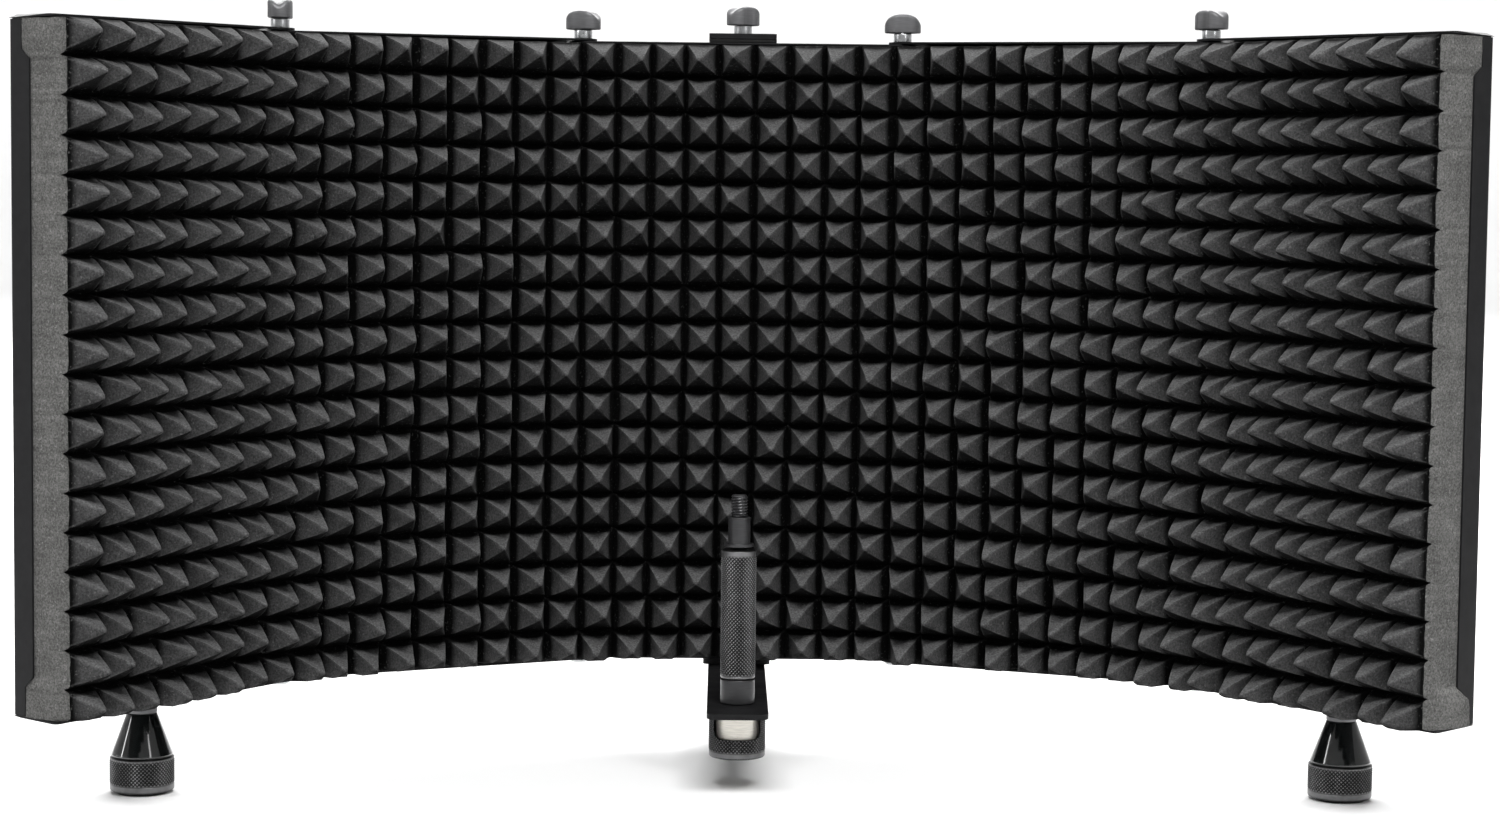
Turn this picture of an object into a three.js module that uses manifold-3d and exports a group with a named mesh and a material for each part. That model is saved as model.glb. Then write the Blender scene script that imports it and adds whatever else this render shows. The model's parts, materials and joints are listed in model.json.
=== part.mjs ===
// Folding microphone isolation shield: five sheet-metal trays that hold thick pyramid foam, pinned
// to each other by thumb screws, with a rear clamp bracket that carries an arm, a knurled microphone
// pole and a stand adapter, and three screw-in feet.
// Millimetres, +Z up. X runs along the shield, the open side of the curve faces -Y.
import * as THREE from 'three';
import { mergeVertices } from 'three/addons/utils/BufferGeometryUtils.js';
import Module from 'manifold-3d';

const wasm = await Module();
wasm.setup();

// ---------------------------------------------------------------- driving dimensions
const PANEL_PITCH = 185;          // hinge axis to hinge axis
const OUTER_LENGTH = 181;         // outer hinge axis to the free end of an outer tray
const INNER_BEND = { left: 28.5, right: 26 };   // degrees between the centre and a middle panel
const OUTER_BEND = { left: 29, right: 28.5 };   // and between a middle and an outer panel
const FOLD_LIMIT = 40;            // the foam is mitred for this bend at each hinge

const SHEET = 1.2;                // tray sheet thickness
const GAP = 0.3;                  // clearance between touching pieces
const TRAY_BOTTOM = 49.5;
const TRAY_TOP = 408;
const TRAY_BACK = 22.5;           // outer face of the back sheet, behind the hinge axis
const FLANGE_FRONT = 8;           // flange edge, in front of the hinge axis
const EAR_RADIUS = 8;             // rounded hinge ears of the flanges
const JOGGLE_START = 12;          // where a raised ear steps back down to its flange
const JOGGLE_END = 15;
const LIP_DEPTH = 14;             // end lip of an outer tray
const LIP_NOTCH_DEPTH = 5.5;
const LIP_NOTCH_HEIGHT = 17.5;
const LIP_CHAMFER = 5;

const FOAM_BOTTOM = 51.1;
const FOAM_TOP = 406.5;
const FOAM_FRONT = 41;          // pyramid tips, in front of the hinge axis
const FOAM_SIDE_GAP = 0.6;        // foam to hinge plane
const POCKET_RADIUS = 10;         // relief in the foam around hardware
const POCKET_DEPTH = 14;

const SCREW_RADIUS = 3;           // M6 thumb screws
const SCREW_HOLE_RADIUS = 3.5;
const COLLAR_RADIUS = 5.2;
const COLLAR_HEIGHT = 5;
const SHANK_LENGTH = 12;          // below the face that a hinge screw clamps
const CLAMP_SHANK_LENGTH = 17;
const THREAD_CHAMFER = 1;
const HEAD_LENGTH = 21;
const HEAD_WIDTH = 13;
const HEAD_HEIGHT = 11;
const HEAD_WAIST = 1.6;           // how far the waist is pulled in on each broad side
const HEAD_DOME_RADIUS = 17;      // the top is domed along the head
const HEAD_GROOVE_RADIUS = 8;     // and hollow across it
const HEAD_GROOVE_DEPTH = 1.2;
const NUT_RADIUS = 5.7;           // corner radius of an M6 hexagon nut
const NUT_HEIGHT = 5;
const RIVET_HEAD_RADIUS = 5.5;    // shouldered rivets through the lower ears
const RIVET_HEAD_HEIGHT = 2;
const RIVET_CHAMFER = 1;

const BRACKET_WIDTH = 39;
const BRACKET_THICKNESS = 3;
const BRACKET_BEND = 3.8;
const TOP_PAD = 1.7;
const CLAMP_SCREW_Y = 8;
const ARM_SCREW_RADIUS = 2.5;
const ARM_SCREW_HEAD_RADIUS = 4.4;
const ARM_SCREW_HEAD_HEIGHT = 2.4;
const ARM_SCREW_X = 10;           // either side of the middle of the bracket

const ARM_WIDTH = 33;
const ARM_FRONT = 176;            // front edge, in front of the centre hinge plane
const ARM_BACK = 22;
const ARM_CORNER = 6;
const POLE_Y = -139;
const POLE_RADIUS = 9.6;
const FERRULE_HEIGHT = 13.5;
const GRIP_TOP = 84;              // above the arm
const GRIP_CHAMFER = 0.8;
const BOLT_BORE_DEPTH = 22;       // in the lower end of the grip
const NECK_BORE_DEPTH = 14;       // in the upper end of the grip
const NECK_RING_RADIUS = 8;
const NECK_RING_SEAT = 1.6;
const NECK_RING_HEIGHT = 1.5;
const NECK_RADIUS = 6;
const NECK_TOP = 101.5;           // above the arm
const STUD_RADIUS = 4.75;         // 3/8 inch microphone thread
const STUD_TOP = 113.5;           // above the arm
const BOLT_RADIUS = 4;
const BOLT_HOLE_RADIUS = 4.3;
const BOLT_BELOW_ARM = 6;
const BOLT_IN_GRIP = 20;

const ADAPTER_RADIUS = 15.45;
const ADAPTER_HEIGHT = 25.6;
const ADAPTER_ROUND = 2;
const BUSHING_RADIUS = 12;
const BUSHING_RECESS = 1.5;       // bushing above the lower rim of the sleeve
const BUSHING_ROOF = 7.5;
const STAND_THREAD_RADIUS = 7.95; // 5/8 inch stand thread
const WINDOW_WIDTH = 24;
const WINDOW_DEPTH = 15;
const WINDOW_CORNER = 4;

const FOOT_ALONG = 100;           // outer hinge axis to a side foot
const FOOT_BEHIND = 10;           // side foot behind the hinge axis line
const REAR_FOOT_Y = 12;
const FOOT_BASE_RADIUS = 17.2;
const REAR_FOOT_BASE_RADIUS = 14.8;
const FOOT_BASE_TOP = 20;
const NECK_HEIGHT = 7;            // collar between the cone and the part that the foot screws into
const COLLAR_NECK_RADIUS = 8.1;
const FOOT_STUD_RADIUS = 4;
const FOOT_STUD_IN_CONE = 9;
const FOOT_SPIGOT_RADIUS = 6;     // cone spigot inside the knurled base
const FOOT_SPIGOT_DEPTH = 12;
const FOOT_CONE_STEP = 0.9;       // base radius beyond the cone
const FOOT_BASE_ROUND = 3;
const FOOT_PAD_INSET = 3.5;
const FOOT_PAD_HEIGHT = 0.8;
const FOOT_NUT_RADIUS = 7.4;      // corner radius of an M8 hexagon nut
const FOOT_NUT_HEIGHT = 6;
const FOOT_THREAD_ABOVE = 10;     // foot thread above the tray's lower face

const ROUND = 28;                 // facets around large turned pieces
const SMALL_ROUND = 14;           // facets around screws and bores
const REACH = 10;                 // how far a cutting tool runs past the faces that it cuts

// ---------------------------------------------------------------- materials
const steelBlack = new THREE.MeshStandardMaterial({ color: 0x1d1d1f, roughness: 0.5, metalness: 0.6 });
const foamCharcoal = new THREE.MeshStandardMaterial({ color: 0x2c2c2d, roughness: 0.95, metalness: 0 });
const knobGrey = new THREE.MeshStandardMaterial({ color: 0x6a6b6d, roughness: 0.45, metalness: 0.3 });
const zincSteel = new THREE.MeshStandardMaterial({ color: 0xb4b6b8, roughness: 0.3, metalness: 0.9 });
const glossBlack = new THREE.MeshStandardMaterial({ color: 0x0b0d0d, roughness: 0.15, metalness: 0.4 });
const knurledGrey = new THREE.MeshStandardMaterial({ color: 0x3c3d3f, roughness: 0.4, metalness: 0.7 });
const nickel = new THREE.MeshStandardMaterial({ color: 0xdedad0, roughness: 0.25, metalness: 0.7 });
const rubberBlack = new THREE.MeshStandardMaterial({ color: 0x151515, roughness: 0.9, metalness: 0 });

// ---------------------------------------------------------------- solid helpers
function toSolid(geometry) {
  const bare = geometry.index ? geometry.toNonIndexed() : geometry.clone();
  bare.deleteAttribute('normal');
  bare.deleteAttribute('uv');
  const merged = mergeVertices(bare, 1e-4);
  return new wasm.Manifold(new wasm.Mesh({
    numProp: 3,
    vertProperties: new Float32Array(merged.attributes.position.array),
    triVerts: new Uint32Array(merged.index.array),
  }));
}

function toGeometry(solid) {
  const mesh = solid.getMesh();
  const geometry = new THREE.BufferGeometry();
  geometry.setAttribute('position', new THREE.BufferAttribute(new Float32Array(mesh.vertProperties), 3));
  geometry.setIndex(new THREE.BufferAttribute(new Uint32Array(mesh.triVerts), 1));
  geometry.computeVertexNormals();
  return geometry;
}

const join = (first, ...rest) => rest.reduce((sum, piece) => sum.add(piece), first);
const cut = (first, ...rest) => rest.reduce((left, piece) => left.subtract(piece), first);

// A box from one corner to the other; the corners may come in any order.
function block(x0, x1, y0, y1, z0, z1) {
  const geometry = new THREE.BoxGeometry(Math.abs(x1 - x0), Math.abs(y1 - y0), Math.abs(z1 - z0));
  return geometry.translate((x0 + x1) / 2, (y0 + y1) / 2, (z0 + z1) / 2);
}

// An upright cylinder between two heights.
function rod(radius, x, y, z0, z1, facets = SMALL_ROUND) {
  const geometry = new THREE.CylinderGeometry(radius, radius, z1 - z0, facets);
  return geometry.rotateX(Math.PI / 2).translate(x, y, (z0 + z1) / 2);
}

// A solid of revolution about Z from [radius, height] points that start and end on the axis or close.
function turned(points, facets = ROUND) {
  const profile = points.map(([radius, height]) => new THREE.Vector2(radius, height));
  return new THREE.LatheGeometry(profile, facets).rotateX(Math.PI / 2);
}

// The middle point of a rounded lower outer corner.
function roundCorner(radius, low, round) {
  const inset = round * (1 - Math.SQRT1_2);
  return [[radius - inset, low + inset]];
}

// A tube: the closed profile comes back to its first point.
function sleeve(inner, outer, z0, z1, facets = ROUND) {
  return turned([[inner, z0], [outer, z0], [outer, z1], [inner, z1], [inner, z0]], facets);
}

// A plan outline raised between two heights.
function raised(shape, z0, z1) {
  const settings = { depth: z1 - z0, bevelEnabled: false, curveSegments: 8 };
  return new THREE.ExtrudeGeometry(shape, settings).translate(0, 0, z0);
}

// A Y-Z outline carried along X.
const YZ_TO_WORLD = new THREE.Matrix4().makeBasis(
  new THREE.Vector3(0, 1, 0), new THREE.Vector3(0, 0, 1), new THREE.Vector3(1, 0, 0));

function alongX(shape, x0, x1) {
  const settings = { depth: Math.abs(x1 - x0), bevelEnabled: false, curveSegments: 8 };
  const geometry = new THREE.ExtrudeGeometry(shape, settings).applyMatrix4(YZ_TO_WORLD);
  return geometry.translate(Math.min(x0, x1), 0, 0);
}

const outline = (points) => new THREE.Shape(points.map(([x, y]) => new THREE.Vector2(x, y)));

function place(parent, name, geometry, material) {
  const mesh = new THREE.Mesh(geometry, material);
  mesh.name = name;
  parent.add(mesh);
  return mesh;
}

// ---------------------------------------------------------------- trays
// Every tray is built in its own frame: the hinge axis that joins it to the panel nearer the centre is
// at x = 0 and the tray runs towards side * X. The centre tray runs both ways from x = 0.
const LEVELS = [
  { face: TRAY_TOP, inward: -1 },
  { face: TRAY_BOTTOM, inward: 1 },
];

function flange(x0, x1, level) {
  return toSolid(block(x0, x1, -FLANGE_FRONT, TRAY_BACK, level.face, level.face + level.inward * SHEET));
}

// The plain ear is a round end in the plane of its flange.
function plainEar(x, level) {
  const other = level.face + level.inward * SHEET;
  return toSolid(rod(EAR_RADIUS, x, 0, Math.min(level.face, other), Math.max(level.face, other), ROUND));
}

// The raised ear lies over the neighbour's plain ear and steps back to its own flange.
function raisedEar(side, level) {
  const near = level.face - level.inward * GAP;
  const far = near - level.inward * SHEET;
  const [z0, z1] = [Math.min(near, far), Math.max(near, far)];
  const inner = level.face + level.inward * SHEET;
  return join(
    toSolid(rod(EAR_RADIUS, 0, 0, z0, z1, ROUND)),
    toSolid(block(0, side * JOGGLE_END, -EAR_RADIUS, EAR_RADIUS, z0, z1)),
    toSolid(block(side * JOGGLE_START, side * JOGGLE_END, -EAR_RADIUS, EAR_RADIUS, inner, far)),
  );
}

function screwHole(x, y, radius = SCREW_HOLE_RADIUS) {
  return toSolid(rod(radius, x, y, TRAY_BOTTOM - REACH, TRAY_TOP + REACH));
}

// The end lip is narrower near the corners, with a 45 degree step.
function endLip(side) {
  const back = TRAY_BACK;
  const front = TRAY_BACK - LIP_DEPTH;
  const notch = front + LIP_NOTCH_DEPTH;
  const low = TRAY_BOTTOM + LIP_NOTCH_HEIGHT;
  const high = TRAY_TOP - LIP_NOTCH_HEIGHT;
  const shape = outline([
    [back, TRAY_BOTTOM], [back, TRAY_TOP], [notch, TRAY_TOP], [notch, high],
    [front, high - LIP_CHAMFER], [front, low + LIP_CHAMFER], [notch, low], [notch, TRAY_BOTTOM],
  ]);
  return toSolid(alongX(shape, side * (OUTER_LENGTH - SHEET), side * OUTER_LENGTH));
}

function backSheet(x0, x1) {
  return toSolid(block(x0, x1, TRAY_BACK - SHEET, TRAY_BACK, TRAY_BOTTOM, TRAY_TOP));
}

function centreTray() {
  const half = PANEL_PITCH / 2;
  const edge = half - 1;
  const pieces = [backSheet(-edge, edge)];
  for (const level of LEVELS) {
    pieces.push(flange(-edge, edge, level), plainEar(-half, level), plainEar(half, level));
  }
  const clampHole = toSolid(rod(SCREW_HOLE_RADIUS, 0, CLAMP_SCREW_Y, TRAY_TOP - REACH, TRAY_TOP + REACH));
  return cut(join(...pieces), screwHole(-half, 0), screwHole(half, 0), clampHole);
}

function middleTray(side) {
  const end = side * PANEL_PITCH;
  const pieces = [backSheet(side, end - side)];
  for (const level of LEVELS) {
    pieces.push(flange(side * JOGGLE_START, end - side, level), plainEar(end, level), raisedEar(side, level));
  }
  return cut(join(...pieces), screwHole(0, 0), screwHole(end, 0));
}

function outerTray(side) {
  const end = side * OUTER_LENGTH;
  const pieces = [backSheet(side, end), endLip(side)];
  for (const level of LEVELS) {
    pieces.push(flange(side * JOGGLE_START, end, level), raisedEar(side, level));
  }
  const footHole = toSolid(rod(FOOT_STUD_RADIUS + GAP, side * FOOT_ALONG, FOOT_BEHIND,
    TRAY_BOTTOM - REACH, TRAY_BOTTOM + REACH));
  return cut(join(...pieces), screwHole(0, 0), footHole);
}

// ---------------------------------------------------------------- foam
// Plain blocks out to the pyramid tips, mitred in front of each hinge axis, with reliefs for hardware.
const MITRE = Math.tan(THREE.MathUtils.degToRad(FOLD_LIMIT / 2));
const FOAM_BACK = TRAY_BACK - SHEET - GAP;

function foamBlock(startX, startMitred, endX, endMitred, side, reliefs) {
  const startFront = startX + (startMitred ? FOAM_FRONT * MITRE : 0);
  const endFront = endX - (endMitred ? FOAM_FRONT * MITRE : 0);
  const points = [
    [startX, FOAM_BACK], [startX, 0], [startFront, -FOAM_FRONT],
    [endFront, -FOAM_FRONT], [endX, 0], [endX, FOAM_BACK],
  ];
  const body = toSolid(raised(outline(points.map(([x, y]) => [side * x, y])), FOAM_BOTTOM, FOAM_TOP));
  const tools = reliefs.map(([x, y, atTop]) => {
    const span = atTop
      ? [FOAM_TOP - POCKET_DEPTH, FOAM_TOP + REACH]
      : [FOAM_BOTTOM - REACH, FOAM_BOTTOM + POCKET_DEPTH];
    return toSolid(rod(POCKET_RADIUS, side * x, y, ...span));
  });
  return cut(body, ...tools);
}

const hingeReliefs = (...places) => places.flatMap((x) => [[x, 0, true], [x, 0, false]]);

// ---------------------------------------------------------------- hinge hardware
// Seen from above the thumb head is a waisted oblong. Its top is a saddle: domed along, hollow across.
function thumbHead(z0) {
  const end = HEAD_WIDTH / 2;
  const half = HEAD_LENGTH / 2 - end;
  const waist = end - 2 * HEAD_WAIST;
  const shape = new THREE.Shape();
  shape.absarc(half, 0, end, -Math.PI / 2, Math.PI / 2, false);
  shape.quadraticCurveTo(0, waist, -half, end);
  shape.absarc(-half, 0, end, Math.PI / 2, Math.PI * 1.5, false);
  shape.quadraticCurveTo(0, -waist, half, -end);
  const top = z0 + HEAD_HEIGHT;
  const dome = new THREE.CylinderGeometry(HEAD_DOME_RADIUS, HEAD_DOME_RADIUS, 2 * HEAD_WIDTH, 64);
  dome.translate(0, 0, top - HEAD_DOME_RADIUS);
  const groove = new THREE.CylinderGeometry(HEAD_GROOVE_RADIUS, HEAD_GROOVE_RADIUS, 2 * HEAD_LENGTH, 40);
  groove.rotateZ(Math.PI / 2).translate(0, 0, top + HEAD_GROOVE_RADIUS - HEAD_GROOVE_DEPTH);
  return cut(toSolid(raised(shape, z0, top)).intersect(toSolid(dome)), toSolid(groove));
}

// Collar above the face that the screw clamps, threaded shank below it.
function screwShank(face, length) {
  const low = face - length;
  return turned([
    [0, low], [SCREW_RADIUS - THREAD_CHAMFER / 2, low], [SCREW_RADIUS, low + THREAD_CHAMFER],
    [SCREW_RADIUS, face + GAP], [COLLAR_RADIUS, face + GAP], [COLLAR_RADIUS, face + COLLAR_HEIGHT],
    [0, face + COLLAR_HEIGHT],
  ], SMALL_ROUND);
}

function thumbScrew(parent, name, x, y, face, length, turn) {
  const group = new THREE.Group();
  group.position.set(x, y, 0);
  group.rotation.z = THREE.MathUtils.degToRad(turn);
  parent.add(group);
  place(group, `${name}_shank`, screwShank(face, length), zincSteel);
  place(group, `${name}_head`, toGeometry(thumbHead(face + COLLAR_HEIGHT + GAP)), knobGrey);
}

function hexNut(x, y, z0, radius = NUT_RADIUS, hole = SCREW_RADIUS + GAP, height = NUT_HEIGHT) {
  return toGeometry(cut(
    toSolid(rod(radius, x, y, z0, z0 + height, 6)),
    toSolid(rod(hole, x, y, z0 - REACH, z0 + height + REACH)),
  ));
}

// Shouldered rivet through the lower ears: a head inside the tray and a head below the raised ear.
function lowerPivot(x) {
  const inside = TRAY_BOTTOM + SHEET + GAP;
  const outside = TRAY_BOTTOM - 2 * GAP - SHEET;
  const high = inside + RIVET_HEAD_HEIGHT;
  const low = outside - RIVET_HEAD_HEIGHT;
  const crown = RIVET_HEAD_RADIUS - RIVET_CHAMFER;
  return turned([
    [0, low], [crown, low], [RIVET_HEAD_RADIUS, low + RIVET_CHAMFER], [RIVET_HEAD_RADIUS, outside],
    [SCREW_RADIUS, outside], [SCREW_RADIUS, inside],
    [RIVET_HEAD_RADIUS, inside], [RIVET_HEAD_RADIUS, high - RIVET_CHAMFER], [crown, high], [0, high],
  ], SMALL_ROUND).translate(x, 0, 0);
}

// ---------------------------------------------------------------- bracket, arm, pole and adapter
const PLATE_TOP = TRAY_TOP + GAP + TOP_PAD + GAP + BRACKET_THICKNESS;
const PLATE_BOTTOM = TRAY_BOTTOM - GAP - BRACKET_THICKNESS;
const ARM_TOP = PLATE_BOTTOM - GAP;
const ARM_BOTTOM = ARM_TOP - BRACKET_THICKNESS;

// Drills the lower plate of the bracket and the arm under it.
const drillLower = (radius, x, y) => toSolid(rod(radius, x, y, ARM_BOTTOM - REACH, PLATE_BOTTOM + REACH));
const drillArmScrews = () => [-1, 1].map((end) => drillLower(ARM_SCREW_RADIUS + GAP, end * ARM_SCREW_X, 0));

function rearBracket() {
  const inner = TRAY_BACK + GAP;
  const outer = inner + BRACKET_THICKNESS;
  const bend = BRACKET_BEND;
  const tight = BRACKET_BEND - BRACKET_THICKNESS;
  const shape = new THREE.Shape();
  shape.moveTo(-FLANGE_FRONT, PLATE_TOP);
  shape.lineTo(-FLANGE_FRONT, PLATE_TOP - BRACKET_THICKNESS);
  shape.absarc(inner - tight, PLATE_TOP - bend, tight, Math.PI / 2, 0, true);
  shape.absarc(inner - tight, PLATE_BOTTOM + bend, tight, 0, -Math.PI / 2, true);
  shape.lineTo(-FLANGE_FRONT, PLATE_BOTTOM + BRACKET_THICKNESS);
  shape.lineTo(-FLANGE_FRONT, PLATE_BOTTOM);
  shape.absarc(outer - bend, PLATE_BOTTOM + bend, bend, -Math.PI / 2, 0, false);
  shape.absarc(outer - bend, PLATE_TOP - bend, bend, 0, Math.PI / 2, false);
  return cut(
    toSolid(alongX(shape, -BRACKET_WIDTH / 2, BRACKET_WIDTH / 2)),
    toSolid(rod(SCREW_HOLE_RADIUS, 0, CLAMP_SCREW_Y, PLATE_TOP - REACH, PLATE_TOP + REACH)),
    drillLower(FOOT_STUD_RADIUS + GAP, 0, REAR_FOOT_Y),
    ...drillArmScrews(),
  );
}

function topPad() {
  const low = TRAY_TOP + GAP;
  const back = TRAY_BACK - 2 * BRACKET_THICKNESS;
  return cut(
    toSolid(block(-BRACKET_WIDTH / 2, BRACKET_WIDTH / 2, -FLANGE_FRONT, back, low, low + TOP_PAD)),
    toSolid(rod(SCREW_HOLE_RADIUS, 0, CLAMP_SCREW_Y, low - REACH, low + REACH)),
  );
}

function microphoneArm() {
  const half = ARM_WIDTH / 2;
  const shape = new THREE.Shape();
  shape.moveTo(-half, ARM_BACK);
  shape.absarc(-half + ARM_CORNER, -ARM_FRONT + ARM_CORNER, ARM_CORNER, Math.PI, Math.PI * 1.5, false);
  shape.absarc(half - ARM_CORNER, -ARM_FRONT + ARM_CORNER, ARM_CORNER, Math.PI * 1.5, Math.PI * 2, false);
  shape.lineTo(half, ARM_BACK);
  return cut(
    toSolid(raised(shape, ARM_BOTTOM, ARM_TOP)),
    drillLower(BOLT_HOLE_RADIUS, 0, POLE_Y),
    drillLower(FOOT_STUD_RADIUS + GAP, 0, REAR_FOOT_Y),
    ...drillArmScrews(),
  );
}

// Button-head screws hold the arm to the bracket from below.
function armScrew(x) {
  const under = ARM_BOTTOM - GAP;
  const low = under - ARM_SCREW_HEAD_HEIGHT;
  const tip = PLATE_BOTTOM + BRACKET_THICKNESS - GAP;
  const crown = ARM_SCREW_HEAD_RADIUS - ARM_SCREW_HEAD_HEIGHT / 2;
  return turned([
    [0, low], [crown, low], [ARM_SCREW_HEAD_RADIUS, low + ARM_SCREW_HEAD_HEIGHT / 2],
    [ARM_SCREW_HEAD_RADIUS, under], [ARM_SCREW_RADIUS, under], [ARM_SCREW_RADIUS, tip], [0, tip],
  ], SMALL_ROUND).translate(x, 0, 0);
}

function poleFerrule() {
  return sleeve(BOLT_HOLE_RADIUS, POLE_RADIUS - GAP, ARM_TOP + GAP, ARM_TOP + FERRULE_HEIGHT);
}

// Two blind bores take the bolt from below and the stud from above.
function poleGrip() {
  const low = ARM_TOP + FERRULE_HEIGHT + GAP;
  const high = ARM_TOP + GRIP_TOP;
  const edge = POLE_RADIUS - GRIP_CHAMFER;
  return turned([
    [0, low + BOLT_BORE_DEPTH], [BOLT_HOLE_RADIUS, low + BOLT_BORE_DEPTH], [BOLT_HOLE_RADIUS, low],
    [edge, low], [POLE_RADIUS, low + GRIP_CHAMFER], [POLE_RADIUS, high - GRIP_CHAMFER], [edge, high],
    [BOLT_HOLE_RADIUS, high], [BOLT_HOLE_RADIUS, high - NECK_BORE_DEPTH], [0, high - NECK_BORE_DEPTH],
  ]);
}

// Threaded into the grip: a bright ring, the smooth neck and the microphone stud.
function poleNeck() {
  const seat = ARM_TOP + GRIP_TOP;
  const low = seat - NECK_BORE_DEPTH + 1;
  const ring = seat + NECK_RING_SEAT;
  const ringTop = ring + NECK_RING_HEIGHT;
  const neckTop = ARM_TOP + NECK_TOP;
  const tip = ARM_TOP + STUD_TOP;
  return turned([
    [0, low], [BOLT_RADIUS, low], [BOLT_RADIUS, ring], [NECK_RING_RADIUS, ring],
    [NECK_RING_RADIUS, ringTop], [NECK_RADIUS, ringTop], [NECK_RADIUS, neckTop],
    [STUD_RADIUS, neckTop], [STUD_RADIUS, tip - THREAD_CHAMFER],
    [STUD_RADIUS - THREAD_CHAMFER, tip], [0, tip],
  ]);
}

// Headless stud that clamps the adapter and the pole to the arm.
function throughBolt() {
  const low = ARM_BOTTOM - GAP - BOLT_BELOW_ARM;
  const high = ARM_TOP + FERRULE_HEIGHT + BOLT_IN_GRIP;
  return turned([[0, low], [BOLT_RADIUS, low], [BOLT_RADIUS, high], [0, high]], SMALL_ROUND);
}

const ADAPTER_TOP = ARM_BOTTOM - GAP;
const ADAPTER_BOTTOM = ADAPTER_TOP - ADAPTER_HEIGHT;

function adapterSleeve() {
  const inner = BUSHING_RADIUS + GAP;
  const outer = ADAPTER_RADIUS;
  const low = ADAPTER_BOTTOM;
  const wall = [
    [inner, low], [outer - ADAPTER_ROUND, low], ...roundCorner(outer, low, ADAPTER_ROUND),
    [outer, low + ADAPTER_ROUND], [outer, ADAPTER_TOP - GRIP_CHAMFER],
    [outer - GRIP_CHAMFER, ADAPTER_TOP], [inner, ADAPTER_TOP], [inner, low],
  ];
  const half = WINDOW_WIDTH / 2 - WINDOW_CORNER;
  const sill = ADAPTER_TOP - WINDOW_DEPTH;
  const shape = new THREE.Shape();
  shape.moveTo(half + WINDOW_CORNER, REACH);
  shape.lineTo(-half - WINDOW_CORNER, REACH);
  shape.absarc(-half, sill + WINDOW_CORNER - ADAPTER_TOP, WINDOW_CORNER, Math.PI, Math.PI * 1.5, false);
  shape.absarc(half, sill + WINDOW_CORNER - ADAPTER_TOP, WINDOW_CORNER, Math.PI * 1.5, Math.PI * 2, false);
  const settings = { depth: 2 * REACH, bevelEnabled: false, curveSegments: 6 };
  const window = new THREE.ExtrudeGeometry(shape, settings).rotateX(Math.PI / 2);
  window.translate(0, -BUSHING_RADIUS / 4, ADAPTER_TOP);
  return cut(toSolid(turned(wall)), toSolid(window));
}

// Internal stand thread open below, a smaller hole for the bolt above.
function adapterBushing() {
  const low = ADAPTER_BOTTOM + BUSHING_RECESS;
  const roof = ADAPTER_TOP - BUSHING_ROOF;
  const high = ADAPTER_TOP;
  return turned([
    [STAND_THREAD_RADIUS, low], [BUSHING_RADIUS, low], [BUSHING_RADIUS, high], [BOLT_HOLE_RADIUS, high],
    [BOLT_HOLE_RADIUS, roof], [STAND_THREAD_RADIUS, roof], [STAND_THREAD_RADIUS, low],
  ]);
}

// ---------------------------------------------------------------- feet
function foot(parent, name, x, y, seat, studTop, baseRadius) {
  const group = new THREE.Group();
  group.position.set(x, y, 0);
  parent.add(group);
  const hole = FOOT_STUD_RADIUS + GAP;
  const coneTop = seat - NECK_HEIGHT;
  const coneRadius = baseRadius - FOOT_CONE_STEP;
  const studLow = coneTop - FOOT_STUD_IN_CONE;
  const spigot = FOOT_SPIGOT_RADIUS;
  const spigotLow = FOOT_BASE_TOP - FOOT_SPIGOT_DEPTH;
  place(group, `${name}_stud`, turned([
    [0, studLow], [FOOT_STUD_RADIUS, studLow], [FOOT_STUD_RADIUS, studTop], [0, studTop],
  ], SMALL_ROUND), zincSteel);
  place(group, `${name}_collar`,
    sleeve(hole, COLLAR_NECK_RADIUS, coneTop + GAP, seat - GAP), knurledGrey);
  place(group, `${name}_cone`, turned([
    [0, spigotLow], [spigot, spigotLow], [spigot, FOOT_BASE_TOP], [coneRadius, FOOT_BASE_TOP],
    [coneRadius, FOOT_BASE_TOP + 1], [COLLAR_NECK_RADIUS, coneTop], [hole, coneTop],
    [hole, studLow - 1], [0, studLow - 1],
  ]), glossBlack);
  const low = FOOT_PAD_HEIGHT + GAP;
  const high = FOOT_BASE_TOP - GAP;
  const edge = GRIP_CHAMFER;
  place(group, `${name}_base`, turned([
    [spigot + GAP, low], [baseRadius - FOOT_BASE_ROUND, low],
    ...roundCorner(baseRadius, low, FOOT_BASE_ROUND), [baseRadius, low + FOOT_BASE_ROUND],
    [baseRadius, high - edge], [baseRadius - edge, high], [spigot + GAP, high], [spigot + GAP, low],
  ]), knurledGrey);
  const padRadius = baseRadius - FOOT_PAD_INSET;
  place(group, `${name}_pad`, turned([
    [0, 0], [padRadius, 0], [padRadius, FOOT_PAD_HEIGHT], [0, FOOT_PAD_HEIGHT],
  ]), rubberBlack);
}

// ---------------------------------------------------------------- assembly
const SHIELD = new THREE.Group();
const HALF = PANEL_PITCH / 2;
const UPPER_EAR_FACE = TRAY_TOP + GAP + SHEET;
const NUT_FLOOR = TRAY_TOP - SHEET - GAP - NUT_HEIGHT;
const SCREW_TURN = { left_inner: -25, right_inner: -5, left_outer: 65, right_outer: -30, clamp: 40 };

place(SHIELD, 'centre_tray', toGeometry(centreTray()), steelBlack);
const centreEdge = HALF - FOAM_SIDE_GAP;
place(SHIELD, 'centre_foam', toGeometry(foamBlock(-centreEdge, true, centreEdge, true, 1,
  [...hingeReliefs(-HALF, HALF), [0, CLAMP_SCREW_Y, true]])), foamCharcoal);

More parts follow.
